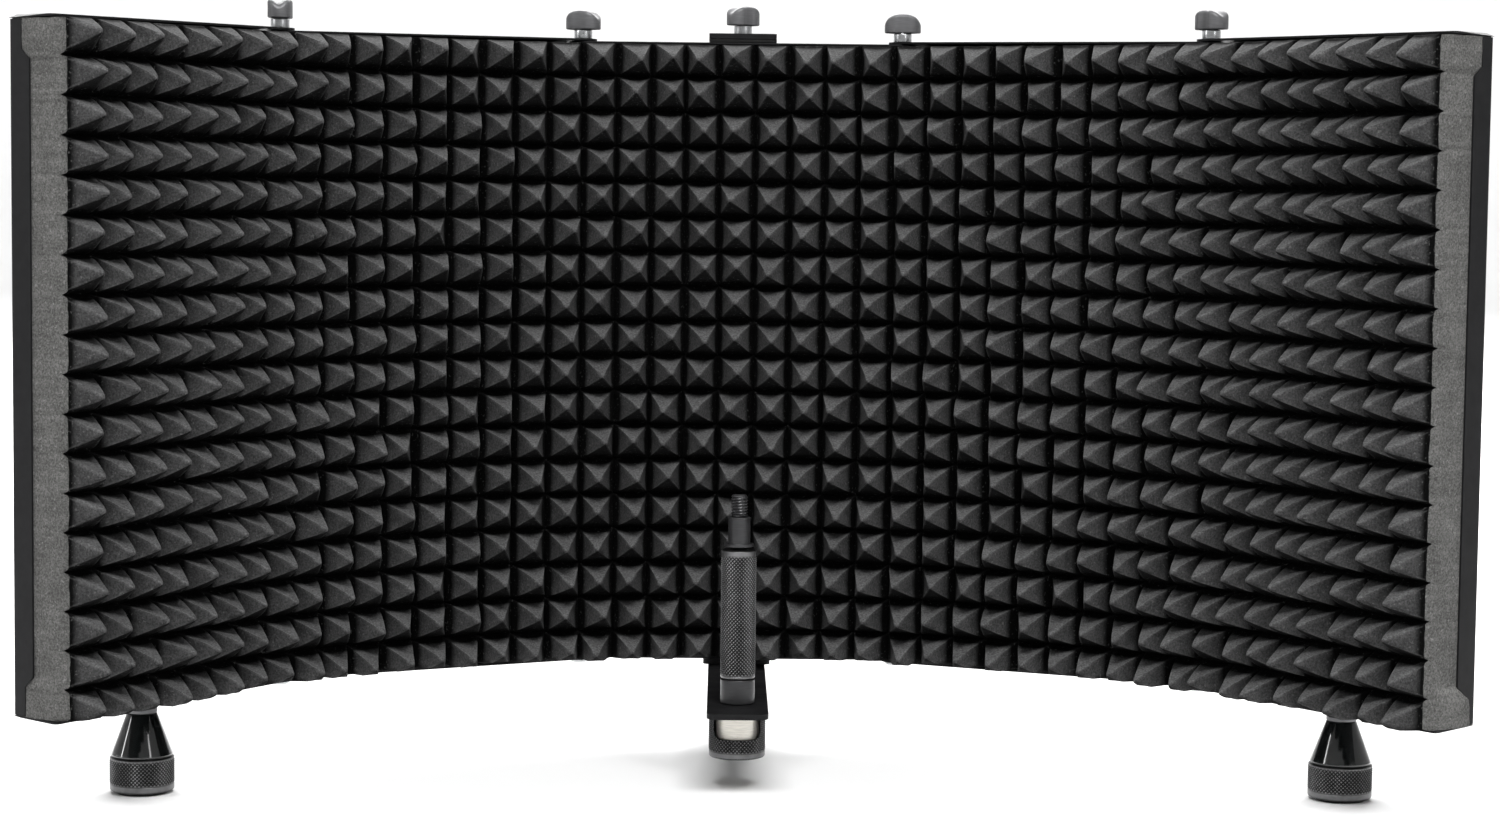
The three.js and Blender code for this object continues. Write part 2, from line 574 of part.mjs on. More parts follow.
for (const [side, word] of [[-1, 'left'], [1, 'right']]) {
  const middle = new THREE.Group();
  middle.position.x = side * HALF;
  middle.rotation.z = -side * THREE.MathUtils.degToRad(INNER_BEND[word]);
  SHIELD.add(middle);
  const outer = new THREE.Group();
  outer.position.x = side * PANEL_PITCH;
  outer.rotation.z = -side * THREE.MathUtils.degToRad(OUTER_BEND[word]);
  middle.add(outer);

  place(middle, `${word}_middle_tray`, toGeometry(middleTray(side)), steelBlack);
  place(middle, `${word}_middle_foam`, toGeometry(foamBlock(FOAM_SIDE_GAP, true,
    PANEL_PITCH - FOAM_SIDE_GAP, true, side, hingeReliefs(0, PANEL_PITCH))), foamCharcoal);
  place(outer, `${word}_outer_tray`, toGeometry(outerTray(side)), steelBlack);
  place(outer, `${word}_outer_foam`, toGeometry(foamBlock(FOAM_SIDE_GAP, true,
    OUTER_LENGTH - SHEET - GAP, false, side,
    [...hingeReliefs(0), [FOOT_ALONG, FOOT_BEHIND, false]])), foamCharcoal);

  // hinge hardware sits on the panel nearer the centre
  const joints = [[SHIELD, side * HALF, 'inner'], [middle, side * PANEL_PITCH, 'outer']];
  for (const [parent, x, where] of joints) {
    const key = `${word}_${where}`;
    thumbScrew(parent, `${key}_thumb`, x, 0, UPPER_EAR_FACE, SHANK_LENGTH, SCREW_TURN[key]);
    place(parent, `${key}_nut`, hexNut(x, 0, NUT_FLOOR), zincSteel);
    place(parent, `${key}_lower_pivot`, lowerPivot(x), zincSteel);
  }

  foot(outer, `${word}_foot`, side * FOOT_ALONG, FOOT_BEHIND, TRAY_BOTTOM,
    TRAY_BOTTOM + FOOT_THREAD_ABOVE, FOOT_BASE_RADIUS);
  place(outer, `${word}_foot_nut`, hexNut(side * FOOT_ALONG, FOOT_BEHIND, TRAY_BOTTOM + SHEET + GAP,
    FOOT_NUT_RADIUS, FOOT_STUD_RADIUS + GAP, FOOT_NUT_HEIGHT), zincSteel);
}

place(SHIELD, 'rear_bracket', toGeometry(rearBracket()), steelBlack);
place(SHIELD, 'bracket_pad', toGeometry(topPad()), rubberBlack);
thumbScrew(SHIELD, 'clamp_thumb', 0, CLAMP_SCREW_Y, PLATE_TOP, CLAMP_SHANK_LENGTH, SCREW_TURN.clamp);
place(SHIELD, 'clamp_nut', hexNut(0, CLAMP_SCREW_Y, NUT_FLOOR), zincSteel);
place(SHIELD, 'microphone_arm', toGeometry(microphoneArm()), steelBlack);
place(SHIELD, 'arm_screw_left', armScrew(-ARM_SCREW_X), zincSteel);
place(SHIELD, 'arm_screw_right', armScrew(ARM_SCREW_X), zincSteel);

const pole = new THREE.Group();
pole.position.y = POLE_Y;
SHIELD.add(pole);
place(pole, 'pole_ferrule', poleFerrule(), knurledGrey);
place(pole, 'pole_grip', poleGrip(), knurledGrey);
place(pole, 'pole_neck', poleNeck(), steelBlack);
place(pole, 'through_bolt', throughBolt(), zincSteel);
place(pole, 'adapter_sleeve', toGeometry(adapterSleeve()), knurledGrey);
place(pole, 'adapter_bushing', adapterBushing(), nickel);

foot(SHIELD, 'rear_foot', 0, REAR_FOOT_Y, ARM_BOTTOM, PLATE_BOTTOM + BRACKET_THICKNESS - GAP,
  REAR_FOOT_BASE_RADIUS);

// the origin is the middle of the footprint, on the surface that the feet stand on
const box = new THREE.Box3().setFromObject(SHIELD, true);
SHIELD.position.set(-(box.min.x + box.max.x) / 2, -(box.min.y + box.max.y) / 2, 0);

const shield = new THREE.Group();
shield.add(SHIELD);
export default shield;
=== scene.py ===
"""Looks for a folding microphone isolation shield: pyramid foam in powder-coated sheet-metal trays,
thumb screws, clamp bracket, microphone pole, stand adapter and feet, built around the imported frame.

Lengths here are in millimetres, in the frame's own axes; build_mesh() turns them into metres."""

import json
import math

import bpy
import numpy as np
from mathutils import Matrix, Vector, noise
from mathutils.geometry import delaunay_2d_cdt

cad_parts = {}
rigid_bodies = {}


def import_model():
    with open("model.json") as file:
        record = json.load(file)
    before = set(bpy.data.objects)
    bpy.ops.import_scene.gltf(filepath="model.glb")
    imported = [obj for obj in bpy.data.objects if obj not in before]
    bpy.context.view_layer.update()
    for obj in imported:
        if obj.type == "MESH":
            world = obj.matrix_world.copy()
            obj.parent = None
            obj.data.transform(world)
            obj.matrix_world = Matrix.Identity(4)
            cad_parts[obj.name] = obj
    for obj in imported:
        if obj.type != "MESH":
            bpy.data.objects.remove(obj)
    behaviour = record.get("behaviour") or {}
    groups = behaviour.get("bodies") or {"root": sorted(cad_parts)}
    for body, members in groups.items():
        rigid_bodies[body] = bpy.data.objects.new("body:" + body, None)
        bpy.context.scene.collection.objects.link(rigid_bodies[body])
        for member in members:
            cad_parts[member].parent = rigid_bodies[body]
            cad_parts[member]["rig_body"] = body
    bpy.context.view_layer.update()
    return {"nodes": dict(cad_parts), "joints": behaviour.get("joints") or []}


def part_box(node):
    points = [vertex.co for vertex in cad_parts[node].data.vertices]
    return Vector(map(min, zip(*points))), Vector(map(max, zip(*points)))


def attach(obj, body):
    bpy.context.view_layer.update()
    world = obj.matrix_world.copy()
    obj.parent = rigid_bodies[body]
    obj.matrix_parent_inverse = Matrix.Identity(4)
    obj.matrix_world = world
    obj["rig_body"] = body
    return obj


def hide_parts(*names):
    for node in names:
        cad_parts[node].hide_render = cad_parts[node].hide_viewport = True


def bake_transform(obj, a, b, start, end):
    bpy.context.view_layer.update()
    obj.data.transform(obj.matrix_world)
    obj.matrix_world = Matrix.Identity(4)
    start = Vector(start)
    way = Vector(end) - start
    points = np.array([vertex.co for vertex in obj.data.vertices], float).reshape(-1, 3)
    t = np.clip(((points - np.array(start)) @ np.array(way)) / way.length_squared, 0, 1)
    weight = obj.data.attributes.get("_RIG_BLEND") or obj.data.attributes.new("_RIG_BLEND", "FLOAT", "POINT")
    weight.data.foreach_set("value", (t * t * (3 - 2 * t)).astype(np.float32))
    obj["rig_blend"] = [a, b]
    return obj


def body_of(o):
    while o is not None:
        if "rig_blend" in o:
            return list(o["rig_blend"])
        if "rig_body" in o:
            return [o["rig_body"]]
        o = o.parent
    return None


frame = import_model()
MM = 0.001
TAU = 2 * math.pi

# ------------------------------------------------------------------ the frame in millimetres
JOINTS = {joint["name"]: joint for joint in frame["joints"]}


def node_box(node):
    low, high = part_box(node)
    return Vector(low) / MM, Vector(high) / MM


def node_centre(node):
    low, high = node_box(node)
    return (low + high) / 2


def node_radius(node):
    """Half a node's width along x, which is the radius of a turned part."""
    low, high = node_box(node)
    return (high.x - low.x) / 2


def flat_centre(node):
    """A node's centre, brought down to the floor."""
    centre = node_centre(node)
    return Vector((centre.x, centre.y, 0))


def axis_point(joint):
    x, y, _ = JOINTS[joint]["pos_m"]
    return Vector((x / MM, y / MM, 0))


def rest_bend(joint):
    """The fold at rest, in radians: the joint's lower limit is the flat position."""
    return -math.radians(JOINTS[joint]["range_deg"][0])


TRAY_LOW, TRAY_HIGH = node_box("centre_tray")
FOAM_LOW, FOAM_HIGH = node_box("centre_foam")
CENTRE = Vector((node_centre("pole_neck").x, axis_point("right_inner_fold").y, 0))     # on the hinge plane
TRAY_BOTTOM, TRAY_TOP = TRAY_LOW.z, TRAY_HIGH.z
TRAY_BACK = TRAY_HIGH.y - CENTRE.y
FLANGE_FRONT = CENTRE.y - TRAY_LOW.y
SHEET = 1.2
HINGE_STEP = 1.5                                    # a raised ear above its flange
PANEL_PITCH = axis_point("right_inner_fold").x - axis_point("left_inner_fold").x
OUTER_LENGTH = 181                                  # outer hinge to the face of the end lip
STUD_RADIUS = 3.95                                  # 8 mm studs and bolts, and the holes for them
STUD_PITCH = 1.25
STUD_HOLE = 4.3


class Panel:
    """A straight panel. x runs along it away from the shield's centre, t runs back from its hinge plane."""

    def __init__(self, body, origin, angle, side):
        self.body = body
        self.origin = origin
        self.side = side
        self.along = side * Vector((math.cos(angle), math.sin(angle), 0))
        self.back = Vector((-math.sin(angle), math.cos(angle), 0))

    def point(self, x, t, z=0.0):
        return self.origin + self.along * x + self.back * t + Vector((0, 0, z))

    def direction(self, x, t, z=0.0):
        return self.along * x + self.back * t + Vector((0, 0, z))


SIDES = {"left": -1, "right": 1}
PANELS = {"centre": Panel("centre_panel", CENTRE, 0.0, 1)}
for word, side in SIDES.items():
    inner_bend = rest_bend(f"{word}_inner_fold")
    outer_bend = rest_bend(f"{word}_outer_fold")
    PANELS[f"{word}_middle"] = Panel(
        f"{word}_middle_panel", axis_point(f"{word}_inner_fold"), -side * inner_bend, side)
    PANELS[f"{word}_outer"] = Panel(
        f"{word}_outer_panel", axis_point(f"{word}_outer_fold"), -side * (inner_bend + outer_bend), side)


# ------------------------------------------------------------------ meshes
def build_mesh(name, vertices, faces, material, smooth_angle=35.0):
    """A mesh object from millimetre vertices, shaded smooth up to the given edge angle."""
    mesh = bpy.data.meshes.new(name)
    mesh.from_pydata([tuple(c * MM for c in v) for v in vertices], [], faces)
    mesh.validate()
    mesh.shade_smooth()
    mesh.set_sharp_from_angle(angle=math.radians(smooth_angle))
    mesh.materials.append(material)
    piece = bpy.data.objects.new(name, mesh)
    bpy.context.scene.collection.objects.link(piece)
    return piece


def weigh_normals(piece):
    """Keeps flat faces flat next to rounded edges."""
    modifier = piece.modifiers.new("weighted", "WEIGHTED_NORMAL")
    modifier.keep_sharp = True
    apply_modifiers(piece)


def apply_modifiers(piece):
    """Makes the modified shape the piece's own mesh."""
    bpy.context.view_layer.update()
    graph = bpy.context.evaluated_depsgraph_get()
    mesh = bpy.data.meshes.new_from_object(piece.evaluated_get(graph), depsgraph=graph)
    piece.modifiers.clear()
    piece.data = mesh


def stands_for(piece, slot, *nodes):
    """The piece takes the place of CAD nodes and moves with their body."""
    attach(piece, body_of(frame["nodes"][nodes[0]])[0])
    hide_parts(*nodes)
    return piece


# ------------------------------------------------------------------ turned and lofted pieces
def round_hole(x, v, radius, count=24):
    """Points round a circle in a flat plane."""
    turns = [TAU * j / count for j in range(count)]
    return [(x + radius * math.cos(angle), v + radius * math.sin(angle)) for angle in turns]


NEARLY_STRAIGHT = 0.02          # radians: a corner that turns less than this stays as it is
SIDE_SHARE = 0.45               # most of a side that the rounding at one of its ends may take


def fillet(points, radius, steps=4):
    """The same open outline with every inner corner rounded as far as its sides allow."""
    points = [Vector(p) for p in points]
    out = [points[0]]
    for before, corner, after in zip(points, points[1:], points[2:]):
        a, b = before - corner, after - corner
        turn = math.pi - a.angle(b)
        if turn < NEARLY_STRAIGHT:
            out.append(corner)
            continue
        reach = min(radius * math.tan(turn / 2), a.length * SIDE_SHARE, b.length * SIDE_SHARE)
        start, end = corner + a.normalized() * reach, corner + b.normalized() * reach
        for i in range(steps + 1):
            u = i / steps
            out.append((1 - u) ** 2 * start + 2 * u * (1 - u) * corner + u * u * end)
    out.append(points[-1])
    return out


def loft(name, rings, material, centre, closed=False, smooth_angle=35.0, split=None):
    """Skins rings of equal length. Open lofts are capped; closed ones join the last ring to the first.
    split(i, j) picks which way a quad is cut in two, or None to leave it whole."""
    count = len(rings[0])
    vertices = [centre + Vector(p) for ring in rings for p in ring]
    faces = []
    last = len(rings) if closed else len(rings) - 1
    for i in range(last):
        k = (i + 1) % len(rings)
        for j in range(count):
            n = (j + 1) % count
            a, b, c, d = i * count + j, i * count + n, k * count + n, k * count + j
            way = split(i, j) if split else None
            if way is None:
                faces.append((a, b, c, d))
            elif way:
                faces.extend([(a, b, c), (a, c, d)])
            else:
                faces.extend([(a, b, d), (b, c, d)])
    if not closed:
        faces.append(tuple(range(count))[::-1])
        faces.append(tuple((len(rings) - 1) * count + j for j in range(count)))
    return build_mesh(name, vertices, faces, material, smooth_angle)


def circle(radius, z, count=64):
    return [(x, y, z) for x, y in round_hole(0, 0, radius, count)]


def circles(profile, count=64):
    """One ring for each (radius, height) of a profile."""
    return [circle(r, z, count) for r, z in profile]


def lathe(name, profile, material, centre, round_by, count=64, closed=False):
    """Turns (radius, height) points, listed from the bottom up the outside, into a closed solid."""
    return loft(name, circles(fillet(profile, round_by), count), material, centre, closed)


KNURL_PITCH = 2.1
KNURL_DEPTH = 0.55
KNURL_ROUNDING = 0.4            # of the turned corners next to a knurled band


def knurl_count(radius):
    """Points round a knurled band: four to each diamond."""
    return 4 * round(TAU * radius / KNURL_PITCH)


def wave(x):
    """0 on the whole numbers, 1 half way between them, straight in between."""
    return 1 - abs(2 * (x % 1.0) - 1)


def knurl_rings(radius, z0, z1):
    """A band of diamond knurl. Four samples across each diamond put a vertex on every groove."""
    count = knurl_count(radius)
    layers = round((z1 - z0) / KNURL_PITCH * 4)
    rings = []
    for i in range(layers + 1):
        fade = min(1.0, i / 3, (layers - i) / 3)
        ring = []
        for j in range(count):
            groove = 1 - min(wave((i + j) / 4), wave((i - j) / 4))
            r = radius - KNURL_DEPTH * (groove * fade + 0.5 * (1 - fade))
            angle = TAU * j / count
            ring.append((r * math.cos(angle), r * math.sin(angle), z0 + (z1 - z0) * i / layers))
        rings.append(ring)
    return rings


def knurled(name, below, radius, z0, z1, above, material, centre, closed=False):
    """A turned piece with a knurled band between the two parts of its profile."""
    count = knurl_count(radius)
    rings = circles(fillet(below, KNURL_ROUNDING), count)
    first = len(rings)
    rings += knurl_rings(radius, z0, z1)
    last = len(rings) - 1
    rings += circles(fillet(above, KNURL_ROUNDING), count)

    def split(i, j):
        """Cuts the quads of the band along its grooves."""
        if i < first or i >= last:
            return None
        return (i - first - j) % 4 == 0 or (i - first + j + 1) % 4 != 0

    return loft(name, rings, material, centre, closed, 22.0, split)


def store_numbers(piece, name, numbers):
    """Stores one number per vertex, for the materials."""
    piece.data.attributes.new(name, "FLOAT", "POINT").data.foreach_set("value", numbers)


def mark_crests(piece, centre, radius):
    """Stores how near each vertex is to the outside of the knurl, for its material."""
    heights = []
    for vertex in piece.data.vertices:
        away = math.hypot(vertex.co.x / MM - centre.x, vertex.co.y / MM - centre.y)
        heights.append(min(max(1 - (radius - away) / KNURL_DEPTH, 0.0), 1.0))
    store_numbers(piece, "height", heights)


def thread_rings(radius, z0, z1, pitch, count=48, inner=False):
    """A helical thread that runs out over half a turn at both ends."""
    depth = 0.6 * pitch
    layers = max(8, round((z1 - z0) / pitch * 4))
    rings = []
    for i in range(layers + 1):
        z = z0 + (z1 - z0) * i / layers
        full = min(1.0, 2 * (z - z0) / pitch, 2 * (z1 - z) / pitch)
        ring = []
        for j in range(count):
            groove = 1 - wave(z / pitch - j / count)
            if inner:
                r = radius + depth * (1 - groove) * full
            else:
                r = radius - depth * (groove * full + 1 - full)
            angle = TAU * j / count
            ring.append((r * math.cos(angle), r * math.sin(angle), z))
        rings.append(ring)
    return rings


# ------------------------------------------------------------------ sheet metal, cut flat and then folded
class Strip:
    """A bent strip seen from its end: an outline of (t, z) corners with rounded bends. v runs along it.
    Each part is (v at its start, v at its end, place, normal, direction, radius), with radius 0 on a line."""

    def __init__(self, corners, radius):
        corners = [Vector(c) for c in corners]
        self.parts = []
        self.bends = []
        v = 0.0
        start = corners[0]
        for before, corner, after in zip(corners, corners[1:], corners[2:]):
            a, b = (corner - before).normalized(), (after - corner).normalized()
            turn = a.angle(b)
            reach = radius * math.tan(turn / 2)
            end = corner - a * reach
            v = self._straight(start, end, v)
            normal = Vector((a.y, -a.x))
            centre = end - normal * radius
            self.parts.append((v, v + radius * turn, centre, normal, a, radius))
            self.bends.append((v, v + radius * turn))
            v += radius * turn
            start = corner + b * reach
        self.length = self._straight(start, corners[-1], v)

    def _straight(self, start, end, v):
        length = (end - start).length
        along = (end - start).normalized()
        self.parts.append((v, v + length, start, Vector((along.y, -along.x)), along, 0.0))
        return v + length

    def at(self, v):
        """Place and outward normal at v, as (t, z) pairs."""
        v = min(max(v, 0.0), self.length)
        start, _, place, normal, along, radius = next(part for part in self.parts if v <= part[1] + 1e-6)
        if radius == 0.0:
            return place + along * (v - start), normal
        angle = (v - start) / radius
        outward = normal * math.cos(angle) + along * math.sin(angle)
        return place + outward * radius, outward


def arc_points(x, v, radius, start, end, steps=14):
    """Points round an arc, angles in degrees."""
    angles = [math.radians(start + (end - start) * i / steps) for i in range(steps + 1)]
    return [(x + radius * math.cos(angle), v + radius * math.sin(angle)) for angle in angles]


def inside(polygon, x, y):
    """Whether points lie in a polygon, for whole arrays at once."""
    px, py = np.array(polygon).T
    qx, qy = np.roll(px, -1), np.roll(py, -1)
    found = np.zeros(len(x), bool)
    for ax, ay, bx, by in zip(px, py, qx, qy):
        if ay == by:
            continue
        crosses = (ay > y) != (by > y)
        found ^= crosses & (x < (bx - ax) * (y - ay) / (by - ay) + ax)
    return found


def fold_sheet(name, outline, holes, creases, place, thickness, material, edge=0.28):
    """Cuts a flat sheet (outline, holes, and creases that give the bends their vertices), folds it with
    place(x, v) -> (point, outward normal), gives it its thickness and breaks its outer edges."""
    points = [Vector(p) for p in outline]
    edges = [(i, (i + 1) % len(outline)) for i in range(len(outline))]
    owner = [0] * len(points)
    for number, hole in enumerate(holes, 1):
        base = len(points)
        points.extend(Vector(p) for p in hole)
        edges.extend((base + i, base + (i + 1) % len(hole)) for i in range(len(hole)))
        owner.extend([number] * len(hole))
    for a, b in creases:
        base = len(points)
        points.extend([Vector(a), Vector(b)])
        edges.append((base, base + 1))
        owner.extend([-1, -1])
    flat, _, triangles, sources, _, _ = delaunay_2d_cdt(points, edges, [], 0, 1e-6)
    loops = []
    for source in sources:
        loops.append({owner[s] for s in source if owner[s] > 0} if source else set())
    centres = np.array([(flat[a] + flat[b] + flat[c]) / 3 for a, b, c in triangles])
    kept = inside(outline, centres[:, 0], centres[:, 1])
    faces = [t for t, keep in zip(triangles, kept)
             if keep and not (loops[t[0]] & loops[t[1]] & loops[t[2]])]
    used = sorted({v for face in faces for v in face})
    index = {v: i for i, v in enumerate(used)}
    count = len(used)
    outer, inner = [], []
    for v in used:
        point, normal = place(*flat[v])
        outer.append(point)
        inner.append(point - normal * thickness)
    a, b, c = (outer[index[v]] for v in faces[0])
    _, normal = place(*flat[faces[0][0]])
    flip = (b - a).cross(c - a).dot(normal) < 0
    top = [tuple(index[v] for v in (face[::-1] if flip else face)) for face in faces]
    half_edges = {(f[i], f[(i + 1) % 3]) for f in top for i in range(3)}
    rims = [(p, q) for p, q in half_edges if (q, p) not in half_edges]
    walls = [(q, p, p + count, q + count) for p, q in rims]
    bottom = [tuple(i + count for i in f[::-1]) for f in top]
    piece = build_mesh(name, outer + inner, top + walls + bottom, material)
    in_hole = {i for v, i in index.items() if loops[v]}
    weights = piece.data.attributes.new("bevel_weight_edge", "FLOAT", "EDGE")
    rim_keys = {tuple(sorted((p + k, q + k))) for p, q in rims for k in (0, count)
                if p not in in_hole and q not in in_hole}
    values = [1.0 if tuple(sorted(e.vertices)) in rim_keys else 0.0 for e in piece.data.edges]
    weights.data.foreach_set("value", values)
    bevel = piece.modifiers.new("edges", "BEVEL")
    bevel.limit_method = "WEIGHT"
    bevel.width = edge * MM
    bevel.segments = 2
    weigh_normals(piece)
    return piece


# ------------------------------------------------------------------ materials
COAT_ROUGHNESS = 0.1


def shader(name, colour, roughness, metallic=0.0, specular=0.5, coat=0.0):
    material = bpy.data.materials.new(name)
    material.use_nodes = True
    bsdf = material.node_tree.nodes["Principled BSDF"]
    bsdf.inputs["Base Color"].default_value = (*colour, 1)
    bsdf.inputs["Roughness"].default_value = roughness
    bsdf.inputs["Metallic"].default_value = metallic
    bsdf.inputs["Specular IOR Level"].default_value = specular
    bsdf.inputs["Coat Weight"].default_value = coat
    bsdf.inputs["Coat Roughness"].default_value = COAT_ROUGHNESS
    return material, material.node_tree, bsdf


def add_node(tree, kind, **inputs):
    """A node with some of its inputs set; an underscore stands for a space in an input's name."""
    node = tree.nodes.new(kind)
    for key, value in inputs.items():
        node.inputs[key.replace("_", " ")].default_value = value
    return node


def attribute(tree, name):
    """A number stored at each vertex of the mesh."""
    node = tree.nodes.new("ShaderNodeAttribute")
    node.attribute_name = name
    return node.outputs["Fac"]


def noise_at(tree, size_mm, detail=3.0, roughness=0.55):
    """A noise texture with features of the given size, in the object's own space."""
    coordinates = tree.nodes.new("ShaderNodeTexCoord")
    texture = add_node(tree, "ShaderNodeTexNoise", Scale=1000.0 / size_mm, Detail=detail, Roughness=roughness)
    tree.links.new(coordinates.outputs["Object"], texture.inputs["Vector"])
    return texture.outputs["Fac"]


def ramp(tree, source, stops):
    """A colour ramp over (position, colour) stops, where a colour may be a single grey number."""
    node = tree.nodes.new("ShaderNodeValToRGB")
    elements = node.color_ramp.elements
    while len(elements) < len(stops):
        elements.new(0.5)
    for element, (position, colour) in zip(elements, stops):
        element.position = position
        element.color = (*colour, 1) if hasattr(colour, "__len__") else (colour, colour, colour, 1)
    tree.links.new(source, node.inputs["Fac"])
    return node.outputs["Color"]


def mix_colours(tree, factor, a, b, mode="MIX"):
    node = tree.nodes.new("ShaderNodeMix")
    node.data_type = "RGBA"
    node.blend_type = mode
    factor_input, a_input, b_input = 0, 6, 7          # the sockets that a colour mix uses
    for key, value in ((factor_input, factor), (a_input, a), (b_input, b)):
        if isinstance(value, bpy.types.NodeSocket):
            tree.links.new(value, node.inputs[key])
        elif key == factor_input:
            node.inputs[key].default_value = value
        else:
            node.inputs[key].default_value = (*value, 1)
    return node.outputs[2]


def multiply(tree, a, b):
    return mix_colours(tree, 1.0, a, b, "MULTIPLY")


def bump(tree, bsdf, layers):
    """Stacks bump layers of (height source, strength, depth in millimetres)."""
    previous = None
    for source, strength, depth in layers:
        node = add_node(tree, "ShaderNodeBump", Strength=strength, Distance=depth * MM)
        tree.links.new(source, node.inputs["Height"])
        if previous:
            tree.links.new(previous, node.inputs["Normal"])
        previous = node.outputs["Normal"]
    tree.links.new(previous, bsdf.inputs["Normal"])


def facing_up(tree):
    """How far a face looks up: 0 straight down, 0.5 sideways, 1 straight up."""
    geometry = tree.nodes.new("ShaderNodeNewGeometry")
    split = tree.nodes.new("ShaderNodeSeparateXYZ")
    tree.links.new(geometry.outputs["Normal"], split.inputs[0])
    facing = add_node(tree, "ShaderNodeMapRange", From_Min=-1.0)
    tree.links.new(split.outputs["Z"], facing.inputs["Value"])
    return facing.outputs[0]


def foam_material(name, tip, groove, ridge_highlight_colour, grain, speck):
    """Open-cell foam. Painted shade makes it black down in the grooves and dark on faces that look down, so
    that the pale floor doesn't light them up, and painted light makes faces that look up a little paler. A
    painted highlight makes the ridges a little paler. Blotches, fine cells and a few light fibres break up
    the faces."""
    material, tree, bsdf = shader(name, tip, 1.0, specular=0.06)
    # painted shade: the height attribute turns the foam black down in its grooves, where shade falls
    groove_shade_stops = [(0.27, 0.0), (0.41, 0.75), (0.65, 0.9), (1.0, 1.0)]
    groove_shade_mask = ramp(tree, attribute(tree, "height"), groove_shade_stops)
    body = mix_colours(tree, groove_shade_mask, groove, tip)
    # painted shade and painted light: faces that look down are darkened and faces that look up are lightened,
    # by how they face the lamps and the floor
    shade = ramp(tree, facing_up(tree), [(0.15, 0.1), (0.45, 0.62), (0.8, 1.15)])
    body = multiply(tree, body, shade)
    # painted highlight: the ridges are lightened, as if they caught the light
    ridge_highlight_mask = ramp(tree, attribute(tree, "ridge"), [(0.3, 0.0), (1.0, 0.22)])
    body = mix_colours(tree, ridge_highlight_mask, body, ridge_highlight_colour)
    blotches = ramp(tree, noise_at(tree, 14.0, 2.0), [(0.3, 0.84), (0.7, 1.12)])
    cells = ramp(tree, noise_at(tree, 1.1, 2.0, 0.7), [(0.32, 1 - grain), (0.7, 1 + grain)])
    body = multiply(tree, multiply(tree, body, blotches), cells)
    flecks = ramp(tree, noise_at(tree, 1.5, 1.0, 0.4), [(0.66, 0.0), (0.74, 1.0)])
    fleck_share = tree.nodes.new("ShaderNodeMath")
    fleck_share.operation = "MULTIPLY"
    fleck_share.inputs[1].default_value = speck
    tree.links.new(flecks, fleck_share.inputs[0])
    body = mix_colours(tree, fleck_share.outputs[0], body, (0.3, 0.3, 0.295))
    tree.links.new(body, bsdf.inputs["Base Color"])
    bump(tree, bsdf, [(noise_at(tree, 7.0, 2.0), 0.7, 0.9), (noise_at(tree, 0.9, 3.0, 0.7), 0.8, 0.4)])
    return material


def coated_material(name, colour, roughness, peel=0.05):
    """Powder coat: fine orange peel and a little uneven gloss."""
    material, tree, bsdf = shader(name, colour, roughness, specular=0.1)
    gloss = ramp(tree, noise_at(tree, 18.0, 4.0), [(0.3, roughness - 0.07), (0.7, roughness + 0.1)])
    tree.links.new(gloss, bsdf.inputs["Roughness"])
    darker, paler = [c * 0.85 for c in colour], [c * 1.25 for c in colour]
    tint = ramp(tree, noise_at(tree, 5.0, 5.0), [(0.3, darker), (0.7, paler)])
    tree.links.new(tint, bsdf.inputs["Base Color"])
    bump(tree, bsdf, [(noise_at(tree, 0.9, 2.0), 0.35, peel)])
    return material


TURNING_STRETCH = (1, 1, 14)    # squeezes noise along z into fine lines round a turned piece


def metal_material(name, colour, roughness, metallic=1.0, scratch=0.08, coat=0.0):
    """Machined metal: fine turning lines round the piece, and smudges that dull the shine."""
    material, tree, bsdf = shader(name, colour, roughness, metallic, coat=coat)
    coordinates = tree.nodes.new("ShaderNodeTexCoord")
    mapping = tree.nodes.new("ShaderNodeMapping")
    mapping.inputs["Scale"].default_value = TURNING_STRETCH
    tree.links.new(coordinates.outputs["Object"], mapping.inputs["Vector"])
    lines = add_node(tree, "ShaderNodeTexNoise", Scale=160.0, Detail=3.0)
    tree.links.new(mapping.outputs["Vector"], lines.inputs["Vector"])
    smudge = ramp(tree, noise_at(tree, 9.0, 3.0), [(0.3, roughness - 0.05), (0.75, roughness + 0.13)])
    tree.links.new(smudge, bsdf.inputs["Roughness"])
    darker, paler = [c * 0.86 for c in colour], [min(1, c * 1.1) for c in colour]
    tint = ramp(tree, lines.outputs["Fac"], [(0.3, darker), (0.7, paler)])
    tree.links.new(tint, bsdf.inputs["Base Color"])
    bump(tree, bsdf, [(lines.outputs["Fac"], scratch, 0.05)])
    return material


def knurl_material(name, groove, crest, roughness):
    """Black-oxide knurling, rubbed paler on the crests of its diamonds."""
    material, tree, bsdf = shader(name, crest, roughness, 0.7)
    flank = [c * 0.55 for c in crest]
    worn = ramp(tree, attribute(tree, "height"), [(0.25, groove), (0.6, flank), (0.95, crest)])
    grime = ramp(tree, noise_at(tree, 6.0, 3.0), [(0.3, 0.75), (0.7, 1.15)])
    tree.links.new(multiply(tree, worn, grime), bsdf.inputs["Base Color"])
    return material


BLACK_STEEL = coated_material("black_powder_coat", (0.009, 0.009, 0.0095), 0.4)
